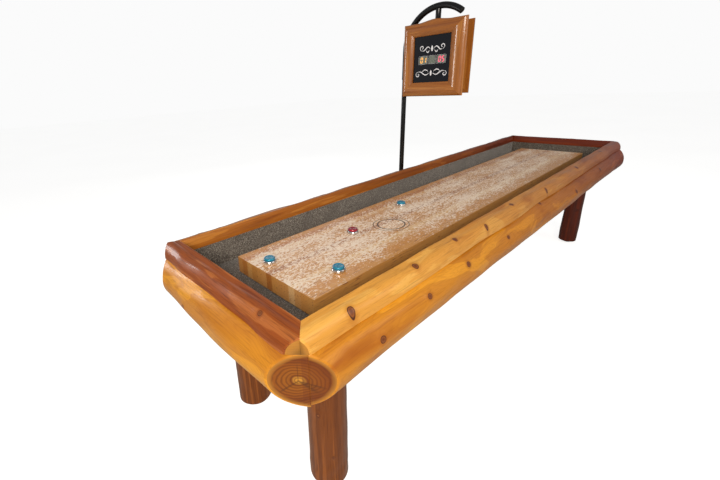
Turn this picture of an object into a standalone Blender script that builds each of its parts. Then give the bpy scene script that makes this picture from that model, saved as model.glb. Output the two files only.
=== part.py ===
"""A rustic table shuffleboard: a laminated lane between carpeted gutters, framed in half logs
on log legs, with four pucks and a two-sided scoreboard on a swivelling hooked pole.
Lengths are in metres. X runs along the lane, +Y is the scoreboard side and +Z is up."""

import math
from collections import namedtuple

import bmesh
import bpy
from mathutils import Matrix, Vector

# ---- Driving dimensions ----
FIT = 0.0003  # gap between pieces that touch

PLAY_LENGTH = 3.36
PLAY_WIDTH = 0.508
PLAY_THICK = 0.076
PLAY_TOP = 0.850  # height of the playing surface above the floor

GUTTER_SIDE = 0.156  # gutter width beside the lane
GUTTER_END = 0.190  # gutter width beyond its ends
GUTTER_DROP = 0.087  # playing surface down to the carpet
CARPET = 0.006
CARPET_TUCK = 0.009  # carpet and floor run this far in under the lane
BOARD = 0.018
WALL_RISE = 0.030  # wall above the playing surface, up to the cap rails

LOG_DROP = 0.060  # playing surface down to the heart of the logs
LOG_LEFT = 0.0870
LOG_RIGHT = 0.0895
LOG_NEAR = 0.106
LOG_FAR = 0.100
LOG_SWELL = 0.014  # share by which a log's radius swells and thins
SWELL_LENGTH = 1.7
CORNER_RADIUS = 0.097  # every log comes to this radius at the corners
CORNER_BLEND = 0.34
NEAR_CUT = 0.0332  # box corner out to the sawn corner face
FAR_CUT = 0.012
MITRE_SHARE = 0.66  # the log joint is this share of the cut nearer to the long log than the corner
LOG_STEP = 0.33
LOG_SIDES = 12  # facets round half a log

CAP_SIDE = 0.070
CAP_END = 0.080
CAP_HEIGHT = 0.066
CAP_PLANED = 0.024  # width of the planed band along the inner edge
CAP_FALL = 0.007  # drop across that band
CAP_FACETS = 6

LEG_NEAR_X = 1.659
LEG_FAR_X = 1.632
LEG_Y = 0.279
LEG_RADII = {"near_left": 0.085, "near_right": 0.079, "far_left": 0.080, "far_right": 0.072}
LEG_SIDES = 18
LEG_TAPER = 0.02  # share by which a leg is wider at its foot
LEG_PLATE = 0.180
PLATE_THICK = 0.006

RAIL_WIDTH = 0.089
RAIL_WIDE = 0.200  # the two rails that carry the legs
RAIL_GAP = 0.83

STUD = 0.006  # M12 threads: the plates' studs and the levelers
PLATE_STUD = 0.070
PAD = 0.030
PAD_HEIGHT = 0.018
LEVELER_STUD = 0.045
ROUND_SIDES = 16

SCREW_SHAFT = 0.003
SCREW_LENGTH = 0.045
SCREW_HEAD = 0.0065
SCREW_HEAD_DEPTH = 0.004

PUCK = 0.02935
PUCK_HEIGHT = 0.016
PUCK_STUD = 0.008
PUCK_CAP = 0.0245
PUCK_CAP_HEIGHT = 0.010
PUCK_PLACES = {  # name: (x, y, colour)
    "puck_1": (-1.616, 0.096, "blue"),
    "puck_2": (-1.466, -0.172, "blue"),
    "puck_3": (-1.127, 0.049, "red"),
    "puck_4": (-0.609, 0.118, "blue"),
}

POST = 0.0167
POST_X = 0.0108
POST_BORE = 0.0141
POST_SHORT = 0.013  # top of the post below the start of the arc
SLEEVE = 0.198  # straight length of the arm, from its lower end to the start of the arc
LOCK_RISE = 0.040  # lock screw above the arm's lower end
SLEEVE_CLEARANCE = 0.0007
SHOULDER = 0.0019  # the sleeve's bore steps in by this above the post
ARM_WALL = 0.0021
ARC_RADIUS = 0.240
ARC_SWEEP = math.radians(128.7)
ARC_STEPS = 12
PLUG_STEM = 0.008
PLUG_EASE = 0.0008  # clearance of the plug's tapered stem in the bent bore
STUB = 0.0175
STUB_LENGTH = 0.1404  # top of the case up to the middle of the arc above it
STUB_SHIFT = -0.0072  # stub from the middle of the panel
FLANGE = (0.048, 0.100, 0.005)
HANGER_BOLT = 0.003
HANGER_SPACING = 0.070
LOCK_SCREW = 0.004

STRAP = 0.003
STRAP_HEIGHT = 0.030
STRAP_EAR = 0.026
STRAP_OFF_LOG = 0.0016
SOCKET_BAR = (0.060, 0.006)
SOCKET_REACH = 0.085  # bar length under the middle rail
CUP_WALL = 0.0045
CUP_HEIGHT = 0.045

PANEL_HEIGHT = 0.840  # middle of the panel above the playing surface
SCORE_OUT = 0.237  # post axis to the middle of the frame
SCORE_WIDTH = 0.440
SCORE_HEIGHT = 0.462
FRAME_LEFT = 0.0765
FRAME_RIGHT = 0.0985
FRAME_TOP = 0.082
FRAME_BOTTOM = 0.090
REAR_TRIM = 0.012  # the rear frame is lower than the front one by this at top and bottom
FRAME_DEPTH = 0.028
FRAME_EDGE = 0.010  # depth of the frame's thin outer and inner edges
TOP_BUMP = ((0.22, 0.0), (0.34, 0.009), (0.5, 0.013), (0.66, 0.010), (0.78, 0.0))  # live edge
CASE_LAP = 0.0325  # case beyond the frame's opening, each side
CASE_BOARD = 0.012
CASE_DEPTH = 0.075
PANEL = 0.003
WINDOW_HEIGHT = 0.047
WINDOWS = ((0.0625, 0.060), (-0.0030, 0.048), (-0.0685, 0.060))  # (centre, width) from the panel's middle
WINDOW_RISE = -0.003
DISPLAY_LAP = 0.004  # display beyond its window, all round
DISPLAY_BOARD = (0.0040, 0.230, 0.070)  # what the three displays of a side are joined to

# ---- Heights and places that follow ----
CAP_BASE = PLAY_TOP + WALL_RISE
LOG_Z = PLAY_TOP - LOG_DROP
CARPET_TOP = PLAY_TOP - GUTTER_DROP
FLOOR_TOP = CARPET_TOP - CARPET
FLOOR_BOTTOM = FLOOR_TOP - BOARD
RAIL_TOP = FLOOR_BOTTOM - FIT
BOX_BOTTOM = LOG_Z - max(LOG_LEFT, LOG_RIGHT) * (1 + LOG_SWELL) - FIT
PLAY_BOTTOM = PLAY_TOP - PLAY_THICK
LEG_BOTTOM = PAD_HEIGHT + FIT
LEG_TOP = BOX_BOTTOM - PLATE_THICK - 2 * FIT

INNER_X = PLAY_LENGTH / 2 + GUTTER_END
INNER_Y = PLAY_WIDTH / 2 + GUTTER_SIDE
WALL_X = INNER_X + CARPET
WALL_Y = INNER_Y + CARPET
BOX_X = WALL_X + BOARD
BOX_Y = WALL_Y + BOARD
LIP_X = PLAY_LENGTH / 2 - CARPET_TUCK
LIP_Y = PLAY_WIDTH / 2 - CARPET_TUCK
FLOOR_IN = 0.005  # the floor boards start this far inside the carpet's edge
RAIL_XS = (-LEG_NEAR_X, -RAIL_GAP, 0, RAIL_GAP, LEG_FAR_X)

Side = namedtuple("Side", "name turn long radius seed")
SIDES = (
    Side("left", 0, True, LOG_LEFT, 0.0),
    Side("right", math.pi, True, LOG_RIGHT, 1.9),
    Side("near", math.pi / 2, False, LOG_NEAR, 3.1),
    Side("far", -math.pi / 2, False, LOG_FAR, 4.4),
)

COLOURS = {  # name: (colour, roughness, metallic)
    "log_pine": ((0.50, 0.22, 0.06), 0.45, 0.0),
    "cap_pine": ((0.45, 0.17, 0.04), 0.35, 0.0),
    "lane_maple": ((0.62, 0.36, 0.14), 0.25, 0.0),
    "board_pine": ((0.52, 0.34, 0.17), 0.6, 0.0),
    "gutter_carpet": ((0.13, 0.11, 0.09), 0.95, 0.0),
    "black_steel": ((0.012, 0.012, 0.013), 0.25, 0.6),
    "zinc_steel": ((0.55, 0.55, 0.53), 0.35, 1.0),
    "black_rubber": ((0.02, 0.02, 0.02), 0.8, 0.0),
    "chrome": ((0.75, 0.75, 0.76), 0.12, 1.0),
    "blue_cap": ((0.01, 0.22, 0.50), 0.25, 0.3),
    "red_cap": ((0.45, 0.01, 0.03), 0.25, 0.3),
    "frame_pine": ((0.60, 0.26, 0.06), 0.2, 0.0),
    "case_board": ((0.30, 0.17, 0.08), 0.6, 0.0),
    "panel_navy": ((0.010, 0.010, 0.016), 0.15, 0.0),
    "display_plastic": ((0.10, 0.10, 0.10), 0.4, 0.0),
}
PUCK_MATERIALS = {"blue": "blue_cap", "red": "red_cap"}

for old in list(bpy.data.objects):
    bpy.data.objects.remove(old)

drills = {}  # node name: mesh of what is drilled or cut out of it
welds = {}  # node name: mesh of what is welded onto it


# ---- Helpers ----
def material(name):
    """The finish of this name, made when it is first used."""
    found = bpy.data.materials.get(name)
    if found:
        return found
    colour, roughness, metallic = COLOURS[name]
    made = bpy.data.materials.new(name)
    made.use_nodes = True
    shader = made.node_tree.nodes["Principled BSDF"]
    shader.inputs["Base Color"].default_value = (*colour, 1.0)
    shader.inputs["Roughness"].default_value = roughness
    shader.inputs["Metallic"].default_value = metallic
    made.diffuse_color = (*colour, 1.0)
    return made


def add_empty(name, location, parent=None):
    empty = bpy.data.objects.new(name, None)
    bpy.context.scene.collection.objects.link(empty)
    empty.parent = parent
    empty.location = location
    return empty


def to_object(name, shape, finish=None, parent=None, location=(0, 0, 0), turn=0.0, round_piece=False):
    """Turn a bmesh into an object; without a finish it becomes a hidden cutter."""
    bmesh.ops.recalc_face_normals(shape, faces=shape.faces)
    mesh = bpy.data.meshes.new(name)
    shape.to_mesh(mesh)
    shape.free()
    if round_piece:
        mesh.shade_smooth()
        mesh.set_sharp_from_angle(angle=math.radians(40))
    made = bpy.data.objects.new(name, mesh)
    bpy.context.scene.collection.objects.link(made)
    made.parent = parent or table
    made.location = location
    made.rotation_euler = (0, 0, turn)
    if finish:
        mesh.materials.append(material(finish))
    else:
        made.hide_render = True
        made.display_type = "WIRE"
    return made


def add_box(shape, low, high, place=Matrix()):
    low, high = Vector(low), Vector(high)
    centre = Matrix.Translation((low + high) / 2)
    size = Matrix.Diagonal((high - low).to_4d())
    size[3][3] = 1
    bmesh.ops.create_cube(shape, size=1, matrix=place @ centre @ size)


def add_between(shape, first, second):
    """A box between any two opposite corners."""
    pairs = [sorted(pair) for pair in zip(first, second)]
    add_box(shape, [low for low, _ in pairs], [high for _, high in pairs])


def add_loft(shape, rings, closed=False):
    """Join rings of points into one skin, with a flat face on each end or closed on itself."""
    made = [[shape.verts.new(point) for point in ring] for ring in rings]
    if closed:
        made.append(made[0])
    for first, second in zip(made, made[1:]):
        for i in range(len(first)):
            shape.faces.new((first[i - 1], first[i], second[i], second[i - 1]))
    if not closed:
        shape.faces.new(made[0])
        shape.faces.new(made[-1])


def add_turned(shape, profile, sides, place=Matrix(), hollow=False):
    """Turn (radius, height) points about Z; a hollow profile closes on itself round the bore."""
    rings = []
    for radius, height in profile:
        spokes = range(sides if radius else 1)
        turns = [2 * math.pi * i / sides for i in spokes]
        points = [(radius * math.cos(t), radius * math.sin(t), height) for t in turns]
        rings.append([shape.verts.new(place @ Vector(point)) for point in points])
    following = rings[1:] + (rings[:1] if hollow else [])
    for first, second in zip(rings, following):
        for i in range(sides):
            corners = [first[i - 1] if len(first) > 1 else first[0], first[i % len(first)]]
            corners += [second[i % len(second)], second[i - 1] if len(second) > 1 else second[0]]
            shape.faces.new(tuple(dict.fromkeys(corners)))


def add_prism(shape, radius, low, high, sides=6, place=Matrix()):
    add_turned(shape, [(0, low), (radius, low), (radius, high), (0, high)], sides, place)


def add_outline(shape, outline, depth):
    """Extrude a flat outline of points along a vector."""
    add_loft(shape, [[Vector(point) for point in outline], [Vector(point) + depth for point in outline]])


def facing(point, direction):
    """A frame at a point whose Z axis looks along a direction."""
    turned = Vector(direction).to_track_quat("Z", "Y").to_matrix().to_4x4()
    return Matrix.Translation(point) @ turned


def clear(radius, sides=6, gap=FIT):
    """Radius of a bore that clears a shaft with the same facets."""
    return radius + gap / math.cos(math.pi / sides)


def cutter_of(name):
    return drills.setdefault(name, bmesh.new())


def slice_off(shape, point, normal):
    """Cut away what lies beyond a plane and close the cut."""
    parts = shape.verts[:] + shape.edges[:] + shape.faces[:]
    cut = bmesh.ops.bisect_plane(shape, geom=parts, plane_co=point, plane_no=normal, clear_outer=True)
    edges = [part for part in cut["geom_cut"] if isinstance(part, bmesh.types.BMEdge)]
    bmesh.ops.holes_fill(shape, edges=edges)


def slice_end(shape, end, along, out, along_step, out_step):
    """Cut one end of a strip back to the upright plane through (along, out) that runs
    along_step for every out_step, leaving half the gap."""
    normal = Vector((end * out_step, -along_step, 0)).normalized()
    slice_off(shape, Vector((end * along, out, 0)) - normal * FIT / 2, normal)


def slice_corner(shape, side, end):
    """Saw an outer corner off, square to the diagonal of the box corner."""
    normal = Vector((end, 1, 0)).normalized()
    corner = Vector((end * lengthwise(side, BOX_X, BOX_Y), lengthwise(side, BOX_Y, BOX_X), 0))
    slice_off(shape, corner + normal * corner_cut(side, end), normal)


def make_screw(name, place, targets):
    """A hex-headed screw whose head rests at the frame's origin, and the bores that it needs."""
    profile = [(0, -SCREW_LENGTH), (SCREW_SHAFT, SCREW_SHAFT - SCREW_LENGTH), (SCREW_SHAFT, FIT)]
    profile += [(SCREW_HEAD, FIT), (SCREW_HEAD, SCREW_HEAD_DEPTH), (0, SCREW_HEAD_DEPTH)]
    shape = bmesh.new()
    add_turned(shape, profile, 6, place)
    to_object(name, shape, "zinc_steel")
    for target in targets:
        add_prism(cutter_of(target), clear(SCREW_SHAFT), -SCREW_LENGTH - 2 * FIT, 0.002, 6, place)


def log_radius(radius, along, reach, seed):
    """A log's radius at a place along it: a slow natural swell that eases into the corners."""
    swell = radius * (1 + LOG_SWELL * math.sin(2 * math.pi * along / SWELL_LENGTH + seed))
    ease = min(max((abs(along) - reach + CORNER_BLEND) / CORNER_BLEND, 0), 1)
    ease = ease * ease * (3 - 2 * ease)
    return swell + (CORNER_RADIUS - swell) * ease


def spaced(reach, step):
    """Even places from -reach to reach, about a step apart."""
    count = max(2, round(2 * reach / step))
    return [reach * (2 * i / count - 1) for i in range(count + 1)]


def lengthwise(side, long_value, short_value):
    return long_value if side.long else short_value


def corner_cut(side, end):
    """How far out from the box corner one end of a side is sawn off."""
    at_near_end = side.name == "near" or side.long and (end < 0) == (side.turn == 0)
    return NEAR_CUT if at_near_end else FAR_CUT


table = add_empty("table_origin", (0, 0, 0))
arm_axis = add_empty("arm_axis", (0, 0, 0), table)


# ---- Logs, cap rails and gutters ----
def side_kind(side):
    return "side" if side.long else "end"


def make_log(side):
    """A log sawn in half: flat against the box, round outside, joined to its neighbours on a mitre."""
    box_along = lengthwise(side, BOX_X, BOX_Y)
    box_out = lengthwise(side, BOX_Y, BOX_X)
    rings = []
    for along in spaced(box_along + 2 * CORNER_RADIUS, LOG_STEP):
        radius = log_radius(side.radius, along, box_along, side.seed)
        turns = [math.pi * (i / LOG_SIDES - 0.5) for i in range(LOG_SIDES + 1)]
        ring = [(radius * math.cos(t), radius * math.sin(t)) for t in turns]
        rings.append([(along, box_out + FIT + out, LOG_Z + rise) for out, rise in ring])
    shape = bmesh.new()
    add_loft(shape, rings)
    slice_off(shape, Vector((0, 0, CAP_BASE - FIT)), Vector((0, 0, 1)))
    shift = lengthwise(side, MITRE_SHARE, -MITRE_SHARE)
    for end in (-1, 1):
        slice_end(shape, end, box_along, box_out, 1 - shift, 1 + shift)
        slice_corner(shape, side, end)
    name = f"{side_kind(side)}_log_{side.name}"
    to_object(name, shape, "log_pine", turn=side.turn, round_piece=True)


def make_cap(side):
    """A cap rail: flat face to the gutter, planed along its inner edge and rounded outside."""
    inner_along = lengthwise(side, INNER_X, INNER_Y)
    inner_out = lengthwise(side, INNER_Y, INNER_X)
    width = lengthwise(side, CAP_SIDE, CAP_END)
    edge = CAP_HEIGHT - CAP_FALL
    profile = [(0, 0), (0, CAP_HEIGHT)]
    for step in range(CAP_FACETS + 1):
        share = step / CAP_FACETS
        profile.append((CAP_PLANED + (width - CAP_PLANED) * share, edge * (1 - share**1.7)))
    rings = []
    for along in (-inner_along - 2 * width, inner_along + 2 * width):
        rings.append([(along, inner_out + out, CAP_BASE + rise) for out, rise in profile])
    shape = bmesh.new()
    add_loft(shape, rings)
    for end in (-1, 1):
        slice_end(shape, end, inner_along, inner_out, 1, 1)
        slice_corner(shape, side, end)
    to_object(f"cap_rail_{side.name}", shape, "cap_pine", turn=side.turn, round_piece=True)


def make_board(side):
    """A board of the gutter box, which carries a log outside and the carpet inside."""
    along = lengthwise(side, BOX_X, WALL_Y - FIT)
    low = lengthwise(side, WALL_Y, WALL_X)
    shape = bmesh.new()
    add_box(shape, (-along, low, BOX_BOTTOM), (along, low + BOARD, CAP_BASE - FIT))
    to_object(f"{side_kind(side)}_board_{side.name}", shape, "board_pine", turn=side.turn)


def make_carpet(side):
    """Carpet that covers the gutter floor and turns up the wall, mitred at the corners."""
    lip_along = lengthwise(side, LIP_X, LIP_Y)
    lip_out = lengthwise(side, LIP_Y, LIP_X)
    wall_along = lengthwise(side, WALL_X, WALL_Y)
    wall = lengthwise(side, WALL_Y, WALL_X)
    low = FLOOR_TOP + FIT
    top = CAP_BASE - FIT
    profile = [(lip_out, low), (wall - FIT, low), (wall - FIT, top), (wall - CARPET, top)]
    profile += [(wall - CARPET, CARPET_TOP), (lip_out, CARPET_TOP)]
    shape = bmesh.new()
    add_loft(shape, [[(along, out, z) for out, z in profile] for along in (-2 * wall_along, 2 * wall_along)])
    for end in (-1, 1):
        slice_end(shape, end, lip_along, lip_out, wall_along - lip_along, wall - lip_out)
    to_object(f"gutter_carpet_{side.name}", shape, "gutter_carpet", turn=side.turn)


def make_gutter_floor():
    """Boards under the gutters, joined into one frame round the lane's supports."""
    shape = bmesh.new()
    x, y = WALL_X - FIT, WALL_Y - FIT
    add_box(shape, (-x, -y, FLOOR_BOTTOM), (x, y, FLOOR_TOP))
    x, y = LIP_X - FLOOR_IN, LIP_Y - FLOOR_IN
    add_box(cutter_of("gutter_floor"), (-x, -y, FLOOR_BOTTOM - BOARD), (x, y, FLOOR_TOP + BOARD))
    to_object("gutter_floor", shape, "board_pine")


def make_cross_rail(name, x, width):
    """A rail between the side boards, notched at both ends so that its middle rises inside
    the gutter floor and carries the lane."""
    shape = bmesh.new()
    half = width / 2
    low = (x - half, FIT - WALL_Y, BOX_BOTTOM)
    add_box(shape, low, (x + half, WALL_Y - FIT, RAIL_TOP))
    rise_y = LIP_Y - FLOOR_IN - FIT
    middle = math.copysign(min(abs(x), LIP_X - FLOOR_IN - FIT - RAIL_WIDTH / 2), x)
    weld = welds.setdefault(name, bmesh.new())
    low = (middle - RAIL_WIDTH / 2, -rise_y, (BOX_BOTTOM + RAIL_TOP) / 2)
    add_box(weld, low, (middle + RAIL_WIDTH / 2, rise_y, PLAY_BOTTOM - FIT))
    to_object(name, shape, "board_pine")


def make_playfield():
    shape = bmesh.new()
    x, y = PLAY_LENGTH / 2, PLAY_WIDTH / 2
    add_box(shape, (-x, -y, PLAY_BOTTOM), (x, y, PLAY_TOP))
    to_object("playfield", shape, "lane_maple")


# ---- Legs ----
def make_leg(name, x, y):
    """A log leg with a steel plate let onto its top and a leveling foot under it."""
    radius = LEG_RADII[name]
    shape = bmesh.new()
    foot = radius * (1 + LEG_TAPER)
    middle = (LEG_BOTTOM + LEG_TOP) / 2
    profile = [(0, LEG_BOTTOM), (foot, LEG_BOTTOM), (radius * 1.01, middle), (radius, LEG_TOP), (0, LEG_TOP)]
    add_turned(shape, profile, LEG_SIDES)
    to_object(f"leg_{name}", shape, "log_pine", location=(x, y, 0), round_piece=True)

    place = Matrix.Translation((x, y, 0))
    bore = cutter_of(f"leg_{name}")
    add_prism(bore, clear(STUD, 8), -FIT, LEG_BOTTOM + LEVELER_STUD + 0.005, 8, place)
    stud_bottom = LEG_TOP - PLATE_STUD
    add_prism(bore, clear(STUD), stud_bottom - FIT, LEG_TOP + FIT, 6, place)

    low = BOX_BOTTOM - FIT - PLATE_THICK
    half = LEG_PLATE / 2
    plate = bmesh.new()
    add_box(plate, (x - half, y - half, low), (x + half, y + half, low + PLATE_THICK))
    weld = welds.setdefault(f"leg_plate_{name}", bmesh.new())
    add_prism(weld, STUD, stud_bottom, low + PLATE_THICK / 2, 6, place)
    to_object(f"leg_plate_{name}", plate, "black_steel")

    foot_profile = [(0, 0), (PAD - 0.002, 0), (PAD, 0.002), (PAD, 0.007), (0.015, 0.011), (0.011, 0.011)]
    foot_profile += [(0.011, PAD_HEIGHT), (STUD, PAD_HEIGHT)]
    foot_profile += [(STUD, PAD_HEIGHT + LEVELER_STUD), (0, PAD_HEIGHT + LEVELER_STUD)]
    leveler = bmesh.new()
    add_turned(leveler, foot_profile, 8)
    to_object(f"leveler_{name}", leveler, "zinc_steel", location=(x, y, 0), round_piece=True)


# ---- Pucks ----
def make_puck(name, x, y, colour):
    """A chromed weight with a plastic cap that turns in it."""
    place = (x, y, PLAY_TOP + FIT)
    bore = clear(PUCK_STUD, ROUND_SIDES, 2 * FIT)
    weight = bmesh.new()
    profile = [(bore, 0), (PUCK - 0.003, 0), (PUCK, 0.003), (PUCK, PUCK_HEIGHT - 0.003)]
    profile += [(PUCK - 0.003, PUCK_HEIGHT), (bore, PUCK_HEIGHT)]
    add_turned(weight, profile, ROUND_SIDES, hollow=True)
    to_object(f"{name}_weight", weight, "chrome", location=place, round_piece=True)

    cap = bmesh.new()
    base = PUCK_HEIGHT + FIT
    rim = base + PUCK_CAP_HEIGHT
    profile = [(0, 0.003), (PUCK_STUD, 0.003), (PUCK_STUD, base), (PUCK_CAP - 0.001, base)]
    profile += [(PUCK_CAP, base + 0.002), (PUCK_CAP - 0.002, rim - 0.0015), (PUCK_CAP - 0.0045, rim)]
    profile += [(PUCK_CAP - 0.009, rim - 0.0015), (0, rim - 0.0025)]
    add_turned(cap, profile, ROUND_SIDES)
    to_object(f"{name}_cap", cap, PUCK_MATERIALS[colour], location=place, round_piece=True)


for side in SIDES:
    make_log(side)
    make_cap(side)
    make_board(side)
    make_carpet(side)
make_gutter_floor()
for rail_number, rail_x in enumerate(RAIL_XS, 1):
    carries_legs = rail_x in (-LEG_NEAR_X, LEG_FAR_X)
    make_cross_rail(f"cross_rail_{rail_number}", rail_x, RAIL_WIDE if carries_legs else RAIL_WIDTH)
make_playfield()

for leg_name in LEG_RADII:
    end_name, side_name = leg_name.split("_")
    leg_x = LEG_FAR_X if end_name == "far" else -LEG_NEAR_X
    leg_y = LEG_Y if side_name == "left" else -LEG_Y
    make_leg(leg_name, leg_x, leg_y)
for puck_name, (puck_x, puck_y, puck_colour) in PUCK_PLACES.items():
    make_puck(puck_name, puck_x, puck_y, puck_colour)


# ---- Pole ----
LOG_FACE = BOX_Y + FIT + log_radius(LOG_LEFT, POST_X, BOX_X, 0.0)
POST_Y = LOG_FACE + STRAP_OFF_LOG + STRAP + POST
BAR_TOP = BOX_BOTTOM - FIT
CUP_BORE = clear(POST, ROUND_SIDES)
CUP = CUP_BORE + CUP_WALL
BAR_END = POST_Y + CUP + 0.002
SLEEVE_BORE = POST + SLEEVE_CLEARANCE
ARM_BORE = SLEEVE_BORE - SHOULDER
ARM = SLEEVE_BORE + ARM_WALL
PANEL_OUT = -SCORE_OUT + (FRAME_RIGHT - FRAME_LEFT) / 2  # middle of the frame's opening
STUB_OUT = PANEL_OUT + STUB_SHIFT
OPENING_WIDTH = SCORE_WIDTH - FRAME_LEFT - FRAME_RIGHT
OPENING_HEIGHT = SCORE_HEIGHT - FRAME_TOP - FRAME_BOTTOM
PANEL_Z = PLAY_TOP + PANEL_HEIGHT
CASE_HALF_WIDTH = OPENING_WIDTH / 2 + CASE_LAP
CASE_HALF_HEIGHT = OPENING_HEIGHT / 2 + CASE_LAP
CASE_TOP = PANEL_Z + CASE_HALF_HEIGHT
ARC_RISE = math.sqrt(ARC_RADIUS**2 - (ARC_RADIUS + STUB_OUT) ** 2)  # at the stub
ARC_Z = CASE_TOP + STUB_LENGTH - ARC_RISE
SLEEVE_Z = ARC_Z - SLEEVE
POST_TOP = ARC_Z - POST_SHORT
LOCK_Z = SLEEVE_Z + LOCK_RISE


def make_socket():
    """A flat bar screwed under the middle rail, with a cup that the pole stands in."""
    width, thick = SOCKET_BAR
    start = WALL_Y - SOCKET_REACH
    shape = bmesh.new()
    low = (POST_X - width / 2, start, BAR_TOP - thick)
    add_box(shape, low, (POST_X + width / 2, BAR_END, BAR_TOP))
    to_object("post_socket", shape, "black_steel")
    place = Matrix.Translation((POST_X, POST_Y, BAR_TOP))
    add_prism(welds.setdefault("post_socket", bmesh.new()), CUP, -thick / 2, CUP_HEIGHT, ROUND_SIDES, place)
    add_prism(cutter_of("post_socket"), CUP_BORE, 0, CUP_HEIGHT + FIT, ROUND_SIDES, place)


def make_strap():
    """A U strap that holds the pole against the left log, with one screw in each ear."""
    inner = clear(POST, ROUND_SIDES)
    outer = inner + STRAP
    low_y = -POST - STRAP
    high_y = -POST
    reach = outer + STRAP_EAR
    turns = [math.pi * i / 8 for i in range(9)]
    outline = [(-reach, low_y), (-inner, low_y)]
    outline += [(-inner * math.cos(t), inner * math.sin(t)) for t in turns]
    outline += [(inner, low_y), (reach, low_y), (reach, high_y), (outer, high_y)]
    outline += [(outer * math.cos(t), outer * math.sin(t)) for t in turns]
    outline += [(-outer, high_y), (-reach, high_y)]
    low_z = LOG_Z - STRAP_HEIGHT / 2
    shape = bmesh.new()
    add_outline(shape, [(x, y, low_z) for x, y in outline], Vector((0, 0, STRAP_HEIGHT)))
    to_object("post_strap", shape, "black_steel", location=(POST_X, POST_Y, 0))
    for end, side_name in ((-1, "near"), (1, "far")):
        point = (POST_X + end * (outer + STRAP_EAR / 2), POST_Y + high_y, LOG_Z)
        make_screw(f"strap_screw_{side_name}", facing(point, (0, 1, 0)), ["post_strap", "side_log_left"])


def make_post():
    """A straight length of pipe from the socket to the shoulder inside the hooked arm."""
    shape = bmesh.new()
    low, high = BAR_TOP + FIT, POST_TOP
    profile = [(POST_BORE, low), (POST, low), (POST, high), (POST_BORE, high)]
    add_turned(shape, profile, ROUND_SIDES, hollow=True)
    to_object("score_post", shape, "black_steel", location=(POST_X, POST_Y, 0), round_piece=True)


def arm_frame(run):
    """The frame at a distance along the arm from the sleeve's lower end, Z along the pipe."""
    bend = (run - SLEEVE) / ARC_RADIUS
    if bend <= 0:
        return Matrix.Translation((0, 0, SLEEVE_Z + run))
    centre = Matrix.Translation((0, -ARC_RADIUS, ARC_Z))
    return centre @ Matrix.Rotation(bend, 4, "X") @ Matrix.Translation((0, ARC_RADIUS, 0))


def add_pipe(shape, stations):
    """A round bar along the arm through (radius, run) stations."""
    rings = []
    for radius, run in stations:
        turns = [2 * math.pi * i / ROUND_SIDES for i in range(ROUND_SIDES)]
        ring = [Vector((radius * math.cos(t), radius * math.sin(t), 0)) for t in turns]
        rings.append([arm_frame(run) @ point for point in ring])
    add_loft(shape, rings)


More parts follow.
